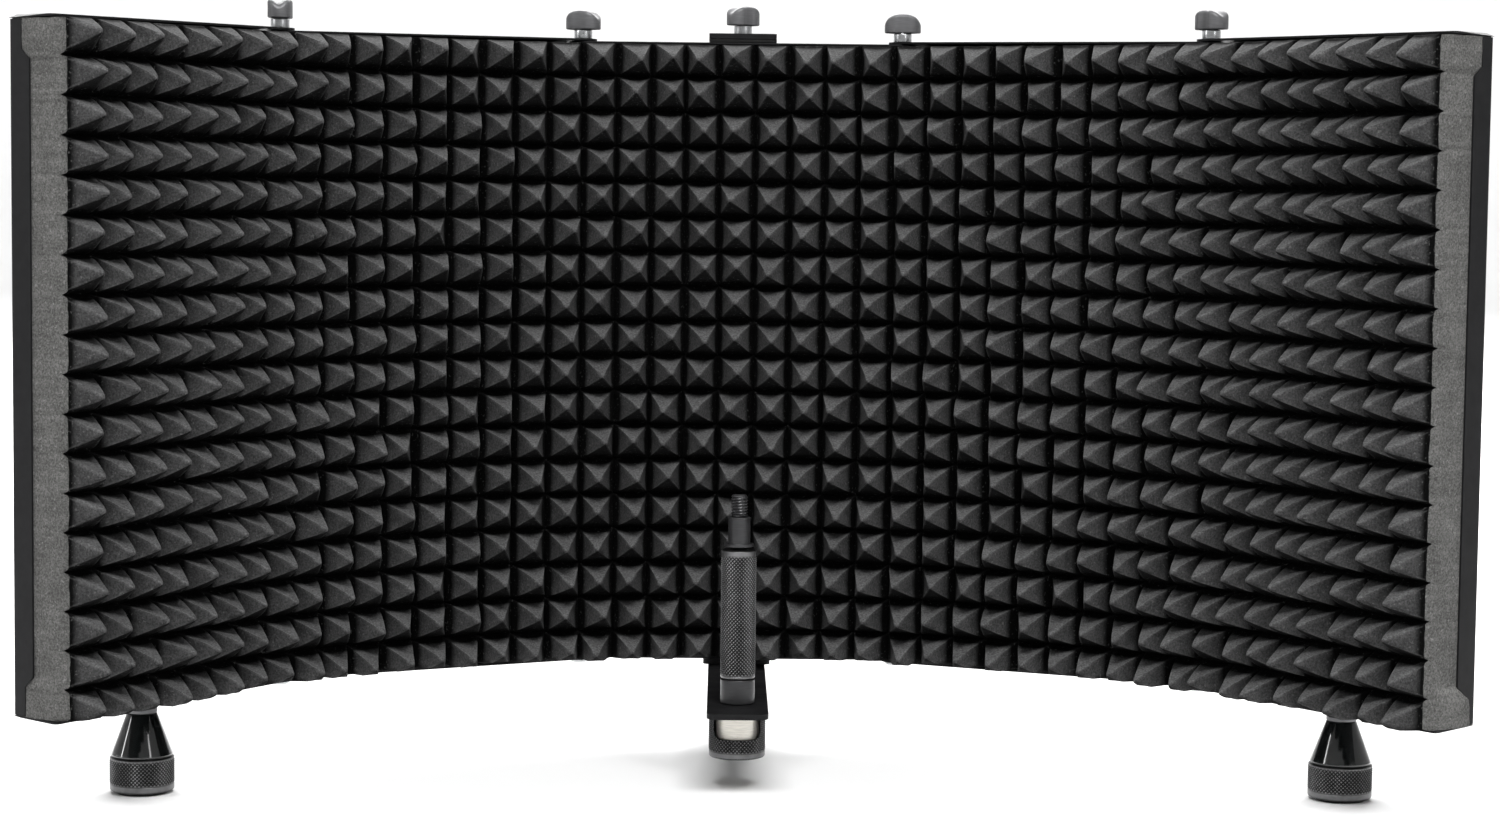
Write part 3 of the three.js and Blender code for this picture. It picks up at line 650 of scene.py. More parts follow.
# the groove colours are painted shade in the grooves, and the ridge colours are a painted highlight on the
# ridges
FOAM = foam_material(
    "charcoal_foam", tip=(0.066, 0.066, 0.0665), groove=(0.002, 0.002, 0.002), ridge_highlight_colour=(0.11, 0.11, 0.11),
    grain=0.42, speck=0.12)
FOAM_CUT = foam_material(
    "charcoal_foam_cut", tip=(0.13, 0.129, 0.125), groove=(0.094, 0.094, 0.092), ridge_highlight_colour=(0.135, 0.135, 0.135),
    grain=0.45, speck=0.28)
KNOB = metal_material("satin_grey_knob", (0.10, 0.10, 0.104), 0.46, metallic=0.35, scratch=0.15)
STEEL = metal_material("bright_zinc", (0.52, 0.53, 0.54), 0.25)
GLOSS = metal_material(
    "gloss_black_lacquer", (0.004, 0.005, 0.005), 0.09, metallic=0.0, scratch=0.02, coat=0.6)
KNURL = knurl_material("dark_knurl", (0.012, 0.012, 0.012), (0.26, 0.26, 0.265), 0.34)
SMOOTH_DARK = metal_material("dark_turned", (0.045, 0.045, 0.047), 0.35, metallic=0.6)
COLLAR_GREY = metal_material("grey_collar", (0.13, 0.13, 0.135), 0.4, metallic=0.7, scratch=0.12)
NICKEL = metal_material("satin_nickel", (0.80, 0.77, 0.70), 0.34, metallic=0.55)
RUBBER = coated_material("black_rubber", (0.011, 0.011, 0.011), 0.8, 0.12)

# ------------------------------------------------------------------ camera, floor and light
CAMERA_PLACE = CENTRE + Vector((-10.6, -1776.1, 327.7))
CAMERA_YAW, CAMERA_PITCH, CAMERA_ROLL = (math.radians(a) for a in (-0.549, 4.244, 0.641))
LENS = 73.11


def make_camera():
    data = bpy.data.cameras.new("camera")
    data.lens = LENS
    data.sensor_width = 36.0
    data.clip_end = 50.0
    camera = bpy.data.objects.new("camera", data)
    turn = (Matrix.Rotation(CAMERA_YAW, 4, "Z") @ Matrix.Rotation(math.pi / 2 - CAMERA_PITCH, 4, "X")
            @ Matrix.Rotation(CAMERA_ROLL, 4, "Z"))
    camera.matrix_world = Matrix.Translation(CAMERA_PLACE * MM) @ turn
    bpy.context.scene.collection.objects.link(camera)
    bpy.context.scene.camera = camera


def area_light(name, place, target, width, height, power):
    """A rectangular light. Its place, target and size are in metres and its power is in watts."""
    data = bpy.data.lights.new(name, "AREA")
    data.shape = "RECTANGLE"
    data.size = width
    data.size_y = height
    data.energy = power
    light = bpy.data.objects.new(name, data)
    light.location = place
    light.rotation_euler = (Vector(target) - Vector(place)).to_track_quat("-Z", "Y").to_euler()
    bpy.context.scene.collection.objects.link(light)


def make_stage():
    """A pale floor that sweeps up into a backdrop all the way round."""
    material, _, _ = shader("stage_paper", (0.9, 0.9, 0.9), 0.9, specular=0.1)
    profile = [(7.0, 0.0), (7.9, 0.25), (8.4, 0.9), (8.6, 2.0), (8.6, 6.0)]         # metres
    count = 64
    vertices = [point for ring in circles(profile, count) for point in ring]
    faces = [tuple(range(count))]
    for i in range(len(profile) - 1):
        for j in range(count):
            n = (j + 1) % count
            faces.append((i * count + n, i * count + j, (i + 1) * count + j, (i + 1) * count + n))
    mesh = bpy.data.meshes.new("floor")
    mesh.from_pydata(vertices, [], faces)
    mesh.shade_smooth()
    mesh.materials.append(material)
    floor = bpy.data.objects.new("floor", mesh)
    bpy.context.scene.collection.objects.link(floor)


def make_lights():
    world = bpy.data.worlds.new("studio")
    world.use_nodes = True
    background = world.node_tree.nodes["Background"]
    background.inputs["Color"].default_value = (1, 1, 1, 1)
    background.inputs["Strength"].default_value = 0.12
    bpy.context.scene.world = world
    area_light("top_softbox", (0.1, -1.2, 1.95), (0, 0, 0.22), 1.5, 0.6, 62)
    area_light("left_strip", (-2.3, -0.6, 1.4), (0, 0, 0.1), 0.16, 1.9, 14)
    area_light("right_strip", (1.5, -1.9, 1.3), (0, 0, 0.1), 0.22, 1.6, 8)
    area_light("backdrop_wash", (0.0, 2.2, 3.2), (0, 6.0, 0.6), 4.0, 1.5, 300)
    area_light("floor_wash", (0.0, 2.6, 2.6), (0, 0.9, 0), 4.0, 1.5, 250)


# ------------------------------------------------------------------ foam
VALLEY = 10.8                    # groove bottoms, in front of the hinge plane
PYRAMID = 26.5                   # groove to tip
FOAM_BACK = FOAM_HIGH.y - CENTRE.y
FOAM_END = OUTER_LENGTH - 1.5    # from the outer hinge to the cut end
END_CUT = 8.0                    # from the last line of tips to the cut end
COLUMNS = 43                     # column pitches from the first line of tips to the last
CENTRE_PITCH = 20.6              # column pitch round the middle of the shield
CENTRE_COLUMN = 23               # this line of tips is CENTRE_OFFSET right of the middle of the bracket
CENTRE_OFFSET = 38.8
ROW_PITCH = 20.0
TOP_ROW = 18.9                   # height left of the top row above its groove
BEND_RADIUS = 320.0              # the foam rounds each hinge corner widely at its groove plane
HALF_CELL = (0.0, 0.05, 0.09, 0.13, 0.17, 0.25, 0.35, 0.44, 0.5)     # grid lines from groove to tip
TIP_SOFTNESS = 0.14
RIDGE_SOFTNESS = 0.08
GROOVE_MIDDLE = 0.34             # half width of a groove, as a share of half a cell
GROOVE_CORNER = 0.22             # the same where two grooves cross
GROOVE_SHARE = 0.38              # height of a groove's steep wall, as a share of the pyramid
END_SHARE = 0.14                 # height left at the cut ends
SOFT_EDGE = 0.25                 # share of the pyramids left right at the lower edge, which is rounded off
TOP_GAP = 0.4                    # the foam sits this far under the upper flange
WALL_STEPS = 8                   # steps from the front of the foam to its back
WALL_START = 1.2                 # the straight walls start this far behind the groove bottoms
LEAN = 1.5                       # most that a tip leans sideways
LIFT = 0.9                       # most that a tip leans up or down, before the left half is raised as much
TALLNESS_SPREAD = 0.035          # how unequal the pyramids are, as a share of their height
WOBBLE = 0.6                     # unevenness of the faces, and the room kept for it at the tips
POCKET_DEPTH = 8.2               # the foam is pressed in round the hardware under the flanges
POCKET_RADIUS = 13.0
BLEND_REACH = 30.0               # the foam bends over this length on both sides of a hinge
TOP_VALLEY = FOAM_HIGH.z - TOP_ROW


class FoamSide:
    """Plan path of the groove plane from the middle of the shield to one free end."""

    def __init__(self, word):
        self.side = SIDES[word]
        self.panels = [PANELS["centre"], PANELS[f"{word}_middle"], PANELS[f"{word}_outer"]]
        self.bends = [rest_bend(f"{word}_inner_fold"), rest_bend(f"{word}_outer_fold")]
        self.insets = [VALLEY * math.tan(bend / 2) for bend in self.bends]
        inner, outer = self.insets
        first = PANEL_PITCH / 2 - inner
        self.corners = [first, first + PANEL_PITCH - inner - outer]
        self.length = self.corners[1] + FOAM_END - outer

    def directions(self, number):
        panel = self.panels[number]
        return (panel.along * (self.side if number == 0 else 1)), panel.back

    def at(self, q):
        """Plan point on the hinge plane and backward direction at distance q from the middle."""
        for number, (corner, bend) in enumerate(zip(self.corners, self.bends)):
            reach = BEND_RADIUS * math.tan(bend / 2)
            if q <= corner - reach:
                return self._straight(number, q)
            if q < corner + reach:
                start, back = self._straight(number, corner - reach)
                along, _ = self.directions(number)
                centre = start - back * (VALLEY + BEND_RADIUS)
                angle = (q - corner + reach) / (2 * reach) * bend
                outward = back * math.cos(angle) + along * math.sin(angle)
                return centre + outward * (VALLEY + BEND_RADIUS), outward
        return self._straight(2, q)

    def _straight(self, number, q):
        along, back = self.directions(number)
        x = q if number == 0 else q - self.corners[number - 1] + self.insets[number - 1]
        return self.panels[number].origin + along * x, back


FOAM_SIDES = {-1: FoamSide("left"), 1: FoamSide("right")}


def foam_place(s):
    """Plan point and backward direction at s along the groove plane, which is negative on the left."""
    return FOAM_SIDES[1 if s > 0 else -1].at(abs(s))


def column_place(column):
    """Distance along the groove plane at a column number; whole numbers are lines of tips."""
    s = CENTRE_OFFSET + (column - CENTRE_COLUMN) * CENTRE_PITCH
    side = 1 if s > 0 else -1
    path = FOAM_SIDES[side]
    corner = path.corners[0]
    if abs(s) <= corner:
        return s
    to_corner = CENTRE_COLUMN + (corner * side - CENTRE_OFFSET) / CENTRE_PITCH
    last = COLUMNS if side > 0 else 0
    share = (column - to_corner) / (last - to_corner)
    return side * (corner + share * (path.length - END_CUT - corner))


def end_column(side):
    """Column number of the cut end."""
    last = COLUMNS if side > 0 else 0
    pitch = abs(column_place(last) - column_place(last - side))
    return last + side * END_CUT / pitch


def soft_slope(x):
    """x from 0 to 1, with its start rounded off."""
    full = math.sqrt(1 + TIP_SOFTNESS ** 2) - TIP_SOFTNESS
    return (np.sqrt(x * x + TIP_SOFTNESS ** 2) - TIP_SOFTNESS) / full


def face_profile(x, across):
    """Height share at x, 0 on the tip and 1 in the groove: a straight face, then a steep saw-cut wall.
    The groove is wider half way along a face (across = 0) than at its corners (across = 1)."""
    groove = GROOVE_CORNER + (GROOVE_MIDDLE - GROOVE_CORNER) * (1 - across ** 2)
    face = 1 - (1 - GROOVE_SHARE) * soft_slope(x) / (1 - groove)
    wall = (1 - x) / groove * GROOVE_SHARE
    return np.clip(np.minimum(face, wall), 0.0, 1.0)


def from_tips(columns, rows):
    """Distance from the nearest tip across and up: 0 on the tip's own line, 1 in the groove."""
    return np.abs((columns + 0.5) % 1.0 * 2 - 1)[:, None], np.abs(rows % 1.0 * 2 - 1)[None, :]


def foam_heights(columns, rows):
    """Pyramid height share over the whole grid. Past the last tips a slope runs down to the cut end."""
    u, v = from_tips(columns, rows)
    a, b = face_profile(u, v), face_profile(v, u)
    beyond = np.maximum(-columns, columns - COLUMNS)
    if beyond.max() > 0:
        slope = 1 - (1 - END_SHARE) * soft_slope(np.maximum(beyond, 0) / beyond.max())
        a = np.where(beyond[:, None] > 0, slope[:, None], a)
    lower = (a + b - np.sqrt((a - b) ** 2 + RIDGE_SOFTNESS ** 2)) / 2
    return np.maximum(lower + RIDGE_SOFTNESS / 2, 0.0)


def foam_ridges(columns, rows):
    """1 on the four ridges of each pyramid, where its faces meet, and 0 on the faces. The foam material
    paints a highlight where it is 1.
    """
    u, v = from_tips(columns, rows)
    width = 0.03
    ridge_highlight_mask = np.clip(1 - np.abs(u - v) / width, 0.0, 1.0)
    return ridge_highlight_mask * (np.maximum(u, v) < 1 - GROOVE_CORNER)


def hashed(i, j, salt):
    """A repeatable number in -1..1 for a cell."""
    return noise.cell(Vector((i * 1.37 + salt * 7.1, j * 2.11 - salt * 3.3, salt + 0.5))) * 2 - 1


def cell_lines(first, last, groove):
    """Grid lines from first to last, crowded at the grooves and the tips; grooves fall at whole + groove."""
    rising, falling = HALF_CELL[:-1], tuple(1 - step for step in HALF_CELL[:0:-1])
    lines = [first]
    for cell in range(math.floor(first - groove), math.ceil(last - groove)):
        for step in rising + falling:
            at = cell + groove + step
            if first + 0.01 < at < last - 0.01:
                lines.append(at)
    lines.append(last)
    return np.array(lines)


class FoamShell:
    """Foam from one column number to another, as one closed shell. A vertex has a grid column i, a grid row j
    and a step k from the front (0) over the edge of the cut (1) to the back (WALL_STEPS)."""

    def __init__(self, first, last, free_start, free_end):
        top = FOAM_HIGH.z - TOP_GAP
        self.columns = cell_lines(first, last, 0.5)
        self.rows = cell_lines((FOAM_LOW.z - TOP_VALLEY) / ROW_PITCH, (top - TOP_VALLEY) / ROW_PITCH, 0.0)
        self.share = foam_heights(self.columns, self.rows)
        self.ridge_highlight_mask = foam_ridges(self.columns, self.rows)
        self.places = [foam_place(column_place(c)) for c in self.columns]
        self.n, self.m = len(self.columns) - 1, len(self.rows) - 1
        self.free_ends = {0: free_start, self.n: free_end}
        self.ids, self.vertices, self.heights, self.ridges = {}, [], [], []

    def front(self, i, j):
        """Height share, depth, and sideways and upward lean of the pyramids at a grid point."""
        cell = (math.floor(self.columns[i] + 0.5), math.floor(self.rows[j]))
        h = self.share[i, j] * (SOFT_EDGE if j == 0 else 1.0)
        raised = LIFT if self.columns[i] < COLUMNS / 2 else 0.0
        tall = PYRAMID * (1 + TALLNESS_SPREAD * hashed(*cell, 3)) - WOBBLE
        return h, -VALLEY - h * tall, LEAN * h * hashed(*cell, 1), h * (LIFT * hashed(*cell, 2) + raised)

    def depth(self, front, k):
        """Distance behind the hinge plane of the step k behind the front."""
        if k == 1:
            return max(front + 0.05, -VALLEY - END_SHARE * PYRAMID)
        start = -VALLEY + WALL_START
        return start + (FOAM_BACK - start) * (k - 2) / (WALL_STEPS - 2)

    def vertex(self, i, j, k):
        if (i, j, k) not in self.ids:
            self.ids[i, j, k] = len(self.vertices)
            self.add_vertex(i, j, k)
        return self.ids[i, j, k]

    def add_vertex(self, i, j, k):
        column, row = self.columns[i], self.rows[j]
        on_edge = j in (0, self.m)
        base, back = self.places[i]
        along = Vector((back.y, -back.x, 0))
        h, front, lean, lift = self.front(i, j)
        z = TOP_VALLEY + row * ROW_PITCH
        seed = Vector((column * 3.1, row * 3.1, 4.0))
        if k == 0:
            t, shift, rise = front + noise.noise(seed) * WOBBLE, lean, 0.0 if on_edge else lift
        else:
            t, shift, rise = self.depth(front, k), 0.0, 0.0
        if i in self.free_ends:
            shift = 0.0
            if self.free_ends[i]:
                outward = -1 if i == 0 else 1
                shift = outward * end_bulge(outward, t, z, k) + 0.3 * noise.noise(seed * 2.3)
        if on_edge:
            if k > 1:
                z += pocket(base + back * t, j > 0) * (-1 if j > 0 else 1)
            z += 0.25 * noise.noise(Vector((column * 4.0, t * 0.2, j)))
        point = base + back * t + along * shift
        self.vertices.append((point.x, point.y, z + rise))
        self.heights.append(float(h) if k == 0 else 0.75)
        self.ridges.append(float(self.ridge_highlight_mask[i, j]) if k == 0 else 0.0)

    def quad(self, *corners):
        return tuple(self.vertex(*corner) for corner in corners)

    def front_faces(self):
        """Pyramid faces, each quad cut in two along the nearest ridge."""
        faces = []
        for i in range(self.n):
            for j in range(self.m):
                a, b, c, d = self.quad((i, j, 0), (i + 1, j, 0), (i + 1, j + 1, 0), (i, j + 1, 0))
                across = ((self.columns[i] + self.columns[i + 1]) / 2 + 0.5) % 1.0 - 0.5
                up = ((self.rows[j] + self.rows[j + 1]) / 2) % 1.0 - 0.5
                if across * up > 0:
                    faces.extend([(a, b, c), (a, c, d)])
                else:
                    faces.extend([(a, b, d), (b, c, d)])
        return faces

    def rim_faces(self):
        """Top and bottom walls, and the flat back as one strip per column."""
        n, m, back = self.n, self.m, WALL_STEPS
        faces = []
        for k in range(back):
            for i in range(n):
                faces.append(self.quad((i, m, k), (i + 1, m, k), (i + 1, m, k + 1), (i, m, k + 1)))
                faces.append(self.quad((i + 1, 0, k), (i, 0, k), (i, 0, k + 1), (i + 1, 0, k + 1)))
        for i in range(n):
            left = [(0, j, back) for j in range(1, m)] if i == 0 else []
            right = [(n, j, back) for j in range(m - 1, 0, -1)] if i == n - 1 else []
            corners = [(i + 1, 0, back), (i, 0, back), *left, (i, m, back), (i + 1, m, back), *right]
            faces.append(self.quad(*corners))
        return faces

    def end_faces(self):
        """The two cut ends."""
        n = self.n
        faces = []
        for k in range(WALL_STEPS):
            for j in range(self.m):
                faces.append(self.quad((0, j, k), (0, j + 1, k), (0, j + 1, k + 1), (0, j, k + 1)))
                faces.append(self.quad((n, j + 1, k), (n, j, k), (n, j, k + 1), (n, j + 1, k + 1)))
        return faces

    def build(self, name):
        faces = self.front_faces() + self.rim_faces()
        cut_start = len(faces)
        faces += self.end_faces()
        piece = build_mesh(name, self.vertices, faces, FOAM, 60.0)
        piece.data.materials.append(FOAM_CUT)
        for polygon in piece.data.polygons[cut_start:]:
            polygon.material_index = 1
        # height drives the foam material's painted shade in the grooves
        store_numbers(piece, "height", self.heights)
        # ridge drives the foam material's painted highlight on the ridges
        store_numbers(piece, "ridge", self.ridges)
        return piece


def end_bulge(outward, t, z, k):
    """How far a cut end stands out: the base swells past the pyramids, and most at the lip's notches, where
    the lower right one swells more than the others."""
    pyramid_inset, base_swell, notch_swell = 0.9, 0.2, 2.8
    notch_reach, lip_middle, lip_reach, lower_end, held_back = 21.0, 6.0, 17.0, 30.0, 0.35
    if k < 2:
        return -pyramid_inset
    edge = min(z - FOAM_LOW.z, FOAM_HIGH.z - z)
    in_notch = max(0.0, 1 - (edge / notch_reach) ** 4)
    at_lip = max(0.0, 1 - ((t - lip_middle) / lip_reach) ** 2)
    loose = 1.0 if outward > 0 and z < FOAM_LOW.z + lower_end else held_back
    return base_swell + notch_swell * in_notch * at_lip * loose


HINGES = [f"{word}_{where}" for word in SIDES for where in ("inner", "outer")]
TOP_POCKETS = [node_centre(f"{name}_nut") for name in (*HINGES, "clamp")]
BOTTOM_POCKETS = [node_centre(f"{word}_foot_nut") for word in SIDES]
BOTTOM_POCKETS += [node_centre(f"{hinge}_lower_pivot") for hinge in HINGES]


def pocket(point, top):
    """Depth that the foam is pressed in by the hardware under the flanges."""
    places = TOP_POCKETS if top else BOTTOM_POCKETS
    nearest = min(math.hypot(point.x - place.x, point.y - place.y) for place in places)
    return POCKET_DEPTH * max(0.0, 1 - (nearest / POCKET_RADIUS) ** 4)


def groove_near(s):
    """The groove nearest a distance along the groove plane."""
    grooves = [column + 0.5 for column in range(COLUMNS)]
    return min(grooves, key=lambda column: abs(column_place(column) - s))


def make_foam():
    """Four lengths of foam that meet in grooves, each of which bends across one hinge."""
    left, right = FOAM_SIDES[-1], FOAM_SIDES[1]
    seams = [end_column(-1), groove_near(-sum(left.corners) / 2), groove_near(0),
             groove_near(sum(right.corners) / 2), end_column(1)]
    rows = [("left_outer", "left_outer", "left_middle", ["left_outer_foam"]),
            ("left_inner", "left_middle", "centre", ["left_middle_foam"]),
            ("right_inner", "centre", "right_middle", ["centre_foam", "right_middle_foam"]),
            ("right_outer", "right_middle", "right_outer", ["right_outer_foam"])]
    for number, (hinge, start, end, nodes) in enumerate(rows):
        shell = FoamShell(seams[number], seams[number + 1], number == 0, number == len(rows) - 1)
        piece = shell.build(f"foam_{hinge}")
        a, b = PANELS[start], PANELS[end]
        middle = axis_point(f"{hinge}_fold")
        reach = (a.along * a.side + b.along * b.side).normalized() * BLEND_REACH
        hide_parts(*nodes)
        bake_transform(piece, a.body, b.body, start=(middle - reach) * MM, end=(middle + reach) * MM)


# ------------------------------------------------------------------ trays
BEND = 2.0
LIP_DEPTH = 14.0
LIP_NOTCH = 5.5
NOTCH_HEIGHT = 17.5
LIP_CHAMFER = 5.0
EAR = 8.0
SCREW_HOLE = 3.5
HOLE_RADIUS = 3.0
HOLE_PITCH = 9.5
SHELL = Strip([(-FLANGE_FRONT, TRAY_BOTTOM), (TRAY_BACK, TRAY_BOTTOM), (TRAY_BACK, TRAY_TOP),
               (-FLANGE_FRONT, TRAY_TOP)], BEND)
V_TOP = SHELL.length
SHOULDER = 12.0                  # from a hinge to the full sheet of a raised end
JOGGLE_END = 11.6
JOGGLE_LENGTH = 3.2
LIP_SLIT = 0.25                  # cut between the end lip and the flanges


def v_on_flange(t, top):
    """Flat coordinate of a depth on the upper or lower flange."""
    return V_TOP - (t + FLANGE_FRONT) if top else t + FLANGE_FRONT


def v_on_back(z):
    return SHELL.bends[0][1] + z - TRAY_BOTTOM - BEND


def lip_x(t):
    """Flat coordinate, along x, of a depth on the end lip."""
    return OUTER_LENGTH - BEND + BEND * math.pi / 2 + (TRAY_BACK - BEND - t)


def ear_outline(x, top, outward):
    """Round ear whose centre is at x, from its back edge to the front edge."""
    v = v_on_flange(0, top)
    back, front = (-90, 90) if top else (90, -90)
    points = arc_points(0, 0, EAR, back, front)
    return [(x + outward * abs(px), v + py) for px, py in points]


def tray_end(kind, x, outward):
    """Outline of one end of a tray, from its lower front corner to its upper front corner."""
    back_low, back_high = SHELL.bends[0][1], SHELL.bends[1][0]
    low_ear, high_ear = ear_outline(x, False, outward)[::-1], ear_outline(x, True, outward)
    low_v, high_v = v_on_flange(EAR, False), v_on_flange(EAR, True)
    edge, shoulder = x - outward, x - outward * SHOULDER
    if kind == "plain":
        return low_ear + [(edge, low_v), (edge, high_v)] + high_ear
    if kind == "raised":
        step, slope = 3.0, 3.0
        return (low_ear + [(shoulder, low_v), (shoulder, back_low + step), (edge, back_low + step + slope),
                           (edge, back_high - step - slope), (shoulder, back_high - step), (shoulder, high_v)]
                + high_ear)
    root, corner = x - BEND - 1.0, 2.5
    low_v, high_v = back_low + LIP_SLIT, back_high - LIP_SLIT
    notch, front = lip_x(TRAY_BACK - LIP_DEPTH + LIP_NOTCH), lip_x(TRAY_BACK - LIP_DEPTH)
    v0, v1 = v_on_back(TRAY_BOTTOM + NOTCH_HEIGHT), v_on_back(TRAY_TOP - NOTCH_HEIGHT)
    low = [(x - corner, 0.0)] + arc_points(x - corner, corner, corner, -90, 0, 5)
    low += [(x, low_v - 2 * LIP_SLIT), (root, low_v - 2 * LIP_SLIT), (root, low_v), (notch, low_v),
            (notch, v0)]
    high = [(notch, v1), (notch, high_v), (root, high_v), (root, high_v + 2 * LIP_SLIT),
            (x, high_v + 2 * LIP_SLIT)]
    high += arc_points(x - corner, V_TOP - corner, corner, 0, 90, 5)
    return low + [(front, v0 + LIP_CHAMFER), (front, v1 - LIP_CHAMFER)] + high


def perforation(x0, x1, skip=0.0):
    """Staggered round holes over the back sheet, clear of a solid band of half width skip at x = 0."""
    v0, v1 = v_on_back(TRAY_BOTTOM + 16), v_on_back(TRAY_TOP - 16)
    rise = HOLE_PITCH * math.sqrt(3) / 2
    rows = int((v1 - v0) / rise)
    per_row = int((x1 - x0) / HOLE_PITCH)
    left = (x0 + x1 - per_row * HOLE_PITCH) / 2
    bottom = (v0 + v1 - rows * rise) / 2
    holes = []
    for row in range(rows + 1):
        count = per_row + 1 - row % 2
        for column in range(count):
            x = left + (column + row % 2 / 2) * HOLE_PITCH
            if abs(x) > skip or skip == 0.0:
                holes.append(round_hole(x, bottom + row * rise, HOLE_RADIUS, 12))
    return holes


def tray_creases(x0, x1, lip=False):
    """Lines that give each bend and the fold of the lip their vertices."""
    creases = []
    for low, high in SHELL.bends:
        for i in range(7):
            v = low + (high - low) * i / 6
            creases.append(((x0, v), (x1, v)))
    if lip:
        for i in range(7):
            at = OUTER_LENGTH - BEND + BEND * math.pi / 2 * i / 6
            creases.append(((at, SHELL.bends[0][1] + LIP_SLIT), (at, SHELL.bends[1][0] - LIP_SLIT)))
    return creases


def tray_placer(panel, raised, lip):
    """Folds the flat tray into its panel's space."""
    back_low, back_high = SHELL.bends[0][1], SHELL.bends[1][0]

    def place(x, v):
        (t, z), (nt, nz) = SHELL.at(v)
        on_back = back_low <= v <= back_high
        if lip and on_back and x > OUTER_LENGTH - BEND:
            angle = (x - OUTER_LENGTH + BEND) / BEND
            if angle <= math.pi / 2:
                at = OUTER_LENGTH - BEND + BEND * math.sin(angle)
                t = TRAY_BACK - BEND + BEND * math.cos(angle)
                return panel.point(at, t, z), panel.direction(math.sin(angle), math.cos(angle))
            t = TRAY_BACK - BEND - (x - lip_x(TRAY_BACK - BEND))
            return panel.point(OUTER_LENGTH, t, z), panel.direction(1, 0)
        if raised and not on_back:
            u = min(max((JOGGLE_END - x) / JOGGLE_LENGTH, 0.0), 1.0)
            z += HINGE_STEP * u * u * (3 - 2 * u) * (1 if v > V_TOP / 2 else -1)
        return panel.point(x, t, z), panel.direction(0, nt, nz)

    return place


def make_tray(word, outline, holes, creases, raised=False, lip=False):
    place = tray_placer(PANELS[word], raised, lip)
    tray = fold_sheet(f"{word}_tray_shell", outline, holes, creases, place, SHEET, BLACK_STEEL)
    stands_for(tray, "black_steel", f"{word}_tray")


def screw_holes(*places):
    return [round_hole(x, v_on_flange(0, top), SCREW_HOLE) for x in places for top in (False, True)]


def make_trays():
    half = PANEL_PITCH / 2
    band = node_radius("rear_bracket") + 4
    clamp = node_centre("clamp_nut").y - CENTRE.y
    outline = tray_end("plain", half, 1) + tray_end("plain", -half, -1)[::-1]
    holes = screw_holes(-half, half) + [round_hole(0, v_on_flange(clamp, True), SCREW_HOLE)]
    holes += perforation(-half + SHOULDER, half - SHOULDER, band)
    make_tray("centre", outline, holes, tray_creases(1 - half, half - 1))
    for word in SIDES:
        outline = tray_end("plain", PANEL_PITCH, 1) + tray_end("raised", 0, -1)[::-1]
        holes = screw_holes(0, PANEL_PITCH) + perforation(SHOULDER, PANEL_PITCH - SHOULDER)
        make_tray(f"{word}_middle", outline, holes, tray_creases(SHOULDER, PANEL_PITCH - 1), raised=True)
        outline = tray_end("lip", OUTER_LENGTH, 1) + tray_end("raised", 0, -1)[::-1]
        outer = PANELS[f"{word}_outer"]
        foot = node_centre(f"{word}_foot_nut") - outer.origin
        foot_x, foot_t = foot.dot(outer.along), foot.dot(outer.back)
        holes = screw_holes(0) + perforation(SHOULDER, OUTER_LENGTH - SHOULDER)
        holes.append(round_hole(foot_x, v_on_flange(foot_t, False), STUD_HOLE))
        creases = tray_creases(SHOULDER, OUTER_LENGTH - 4, lip=True)
        make_tray(f"{word}_outer", outline, holes, creases, raised=True, lip=True)


# ------------------------------------------------------------------ bracket, arm and pad
BRACKET_BEND = 3.8
BRACKET_PLATE = 3.0
CORNER = 3.0
ARM_SCREW_HOLE = 2.8


def round_plate(x0, x1, v0, v1, radius):
    """A rectangle with rounded corners."""
    corners = [(x1 - radius, v0 + radius, -90), (x1 - radius, v1 - radius, 0),
               (x0 + radius, v1 - radius, 90), (x0 + radius, v0 + radius, 180)]
    return [point for x, v, start in corners for point in arc_points(x, v, radius, start, start + 90, 8)]


def flat_place(z):
    panel = PANELS["centre"]

    def place(x, v):
        return panel.point(x, v, z), Vector((0, 0, 1))

    return place


def local(node):
    """Place of a node's centre on the centre panel."""
    place = node_centre(node) - CENTRE
    return place.x, place.y


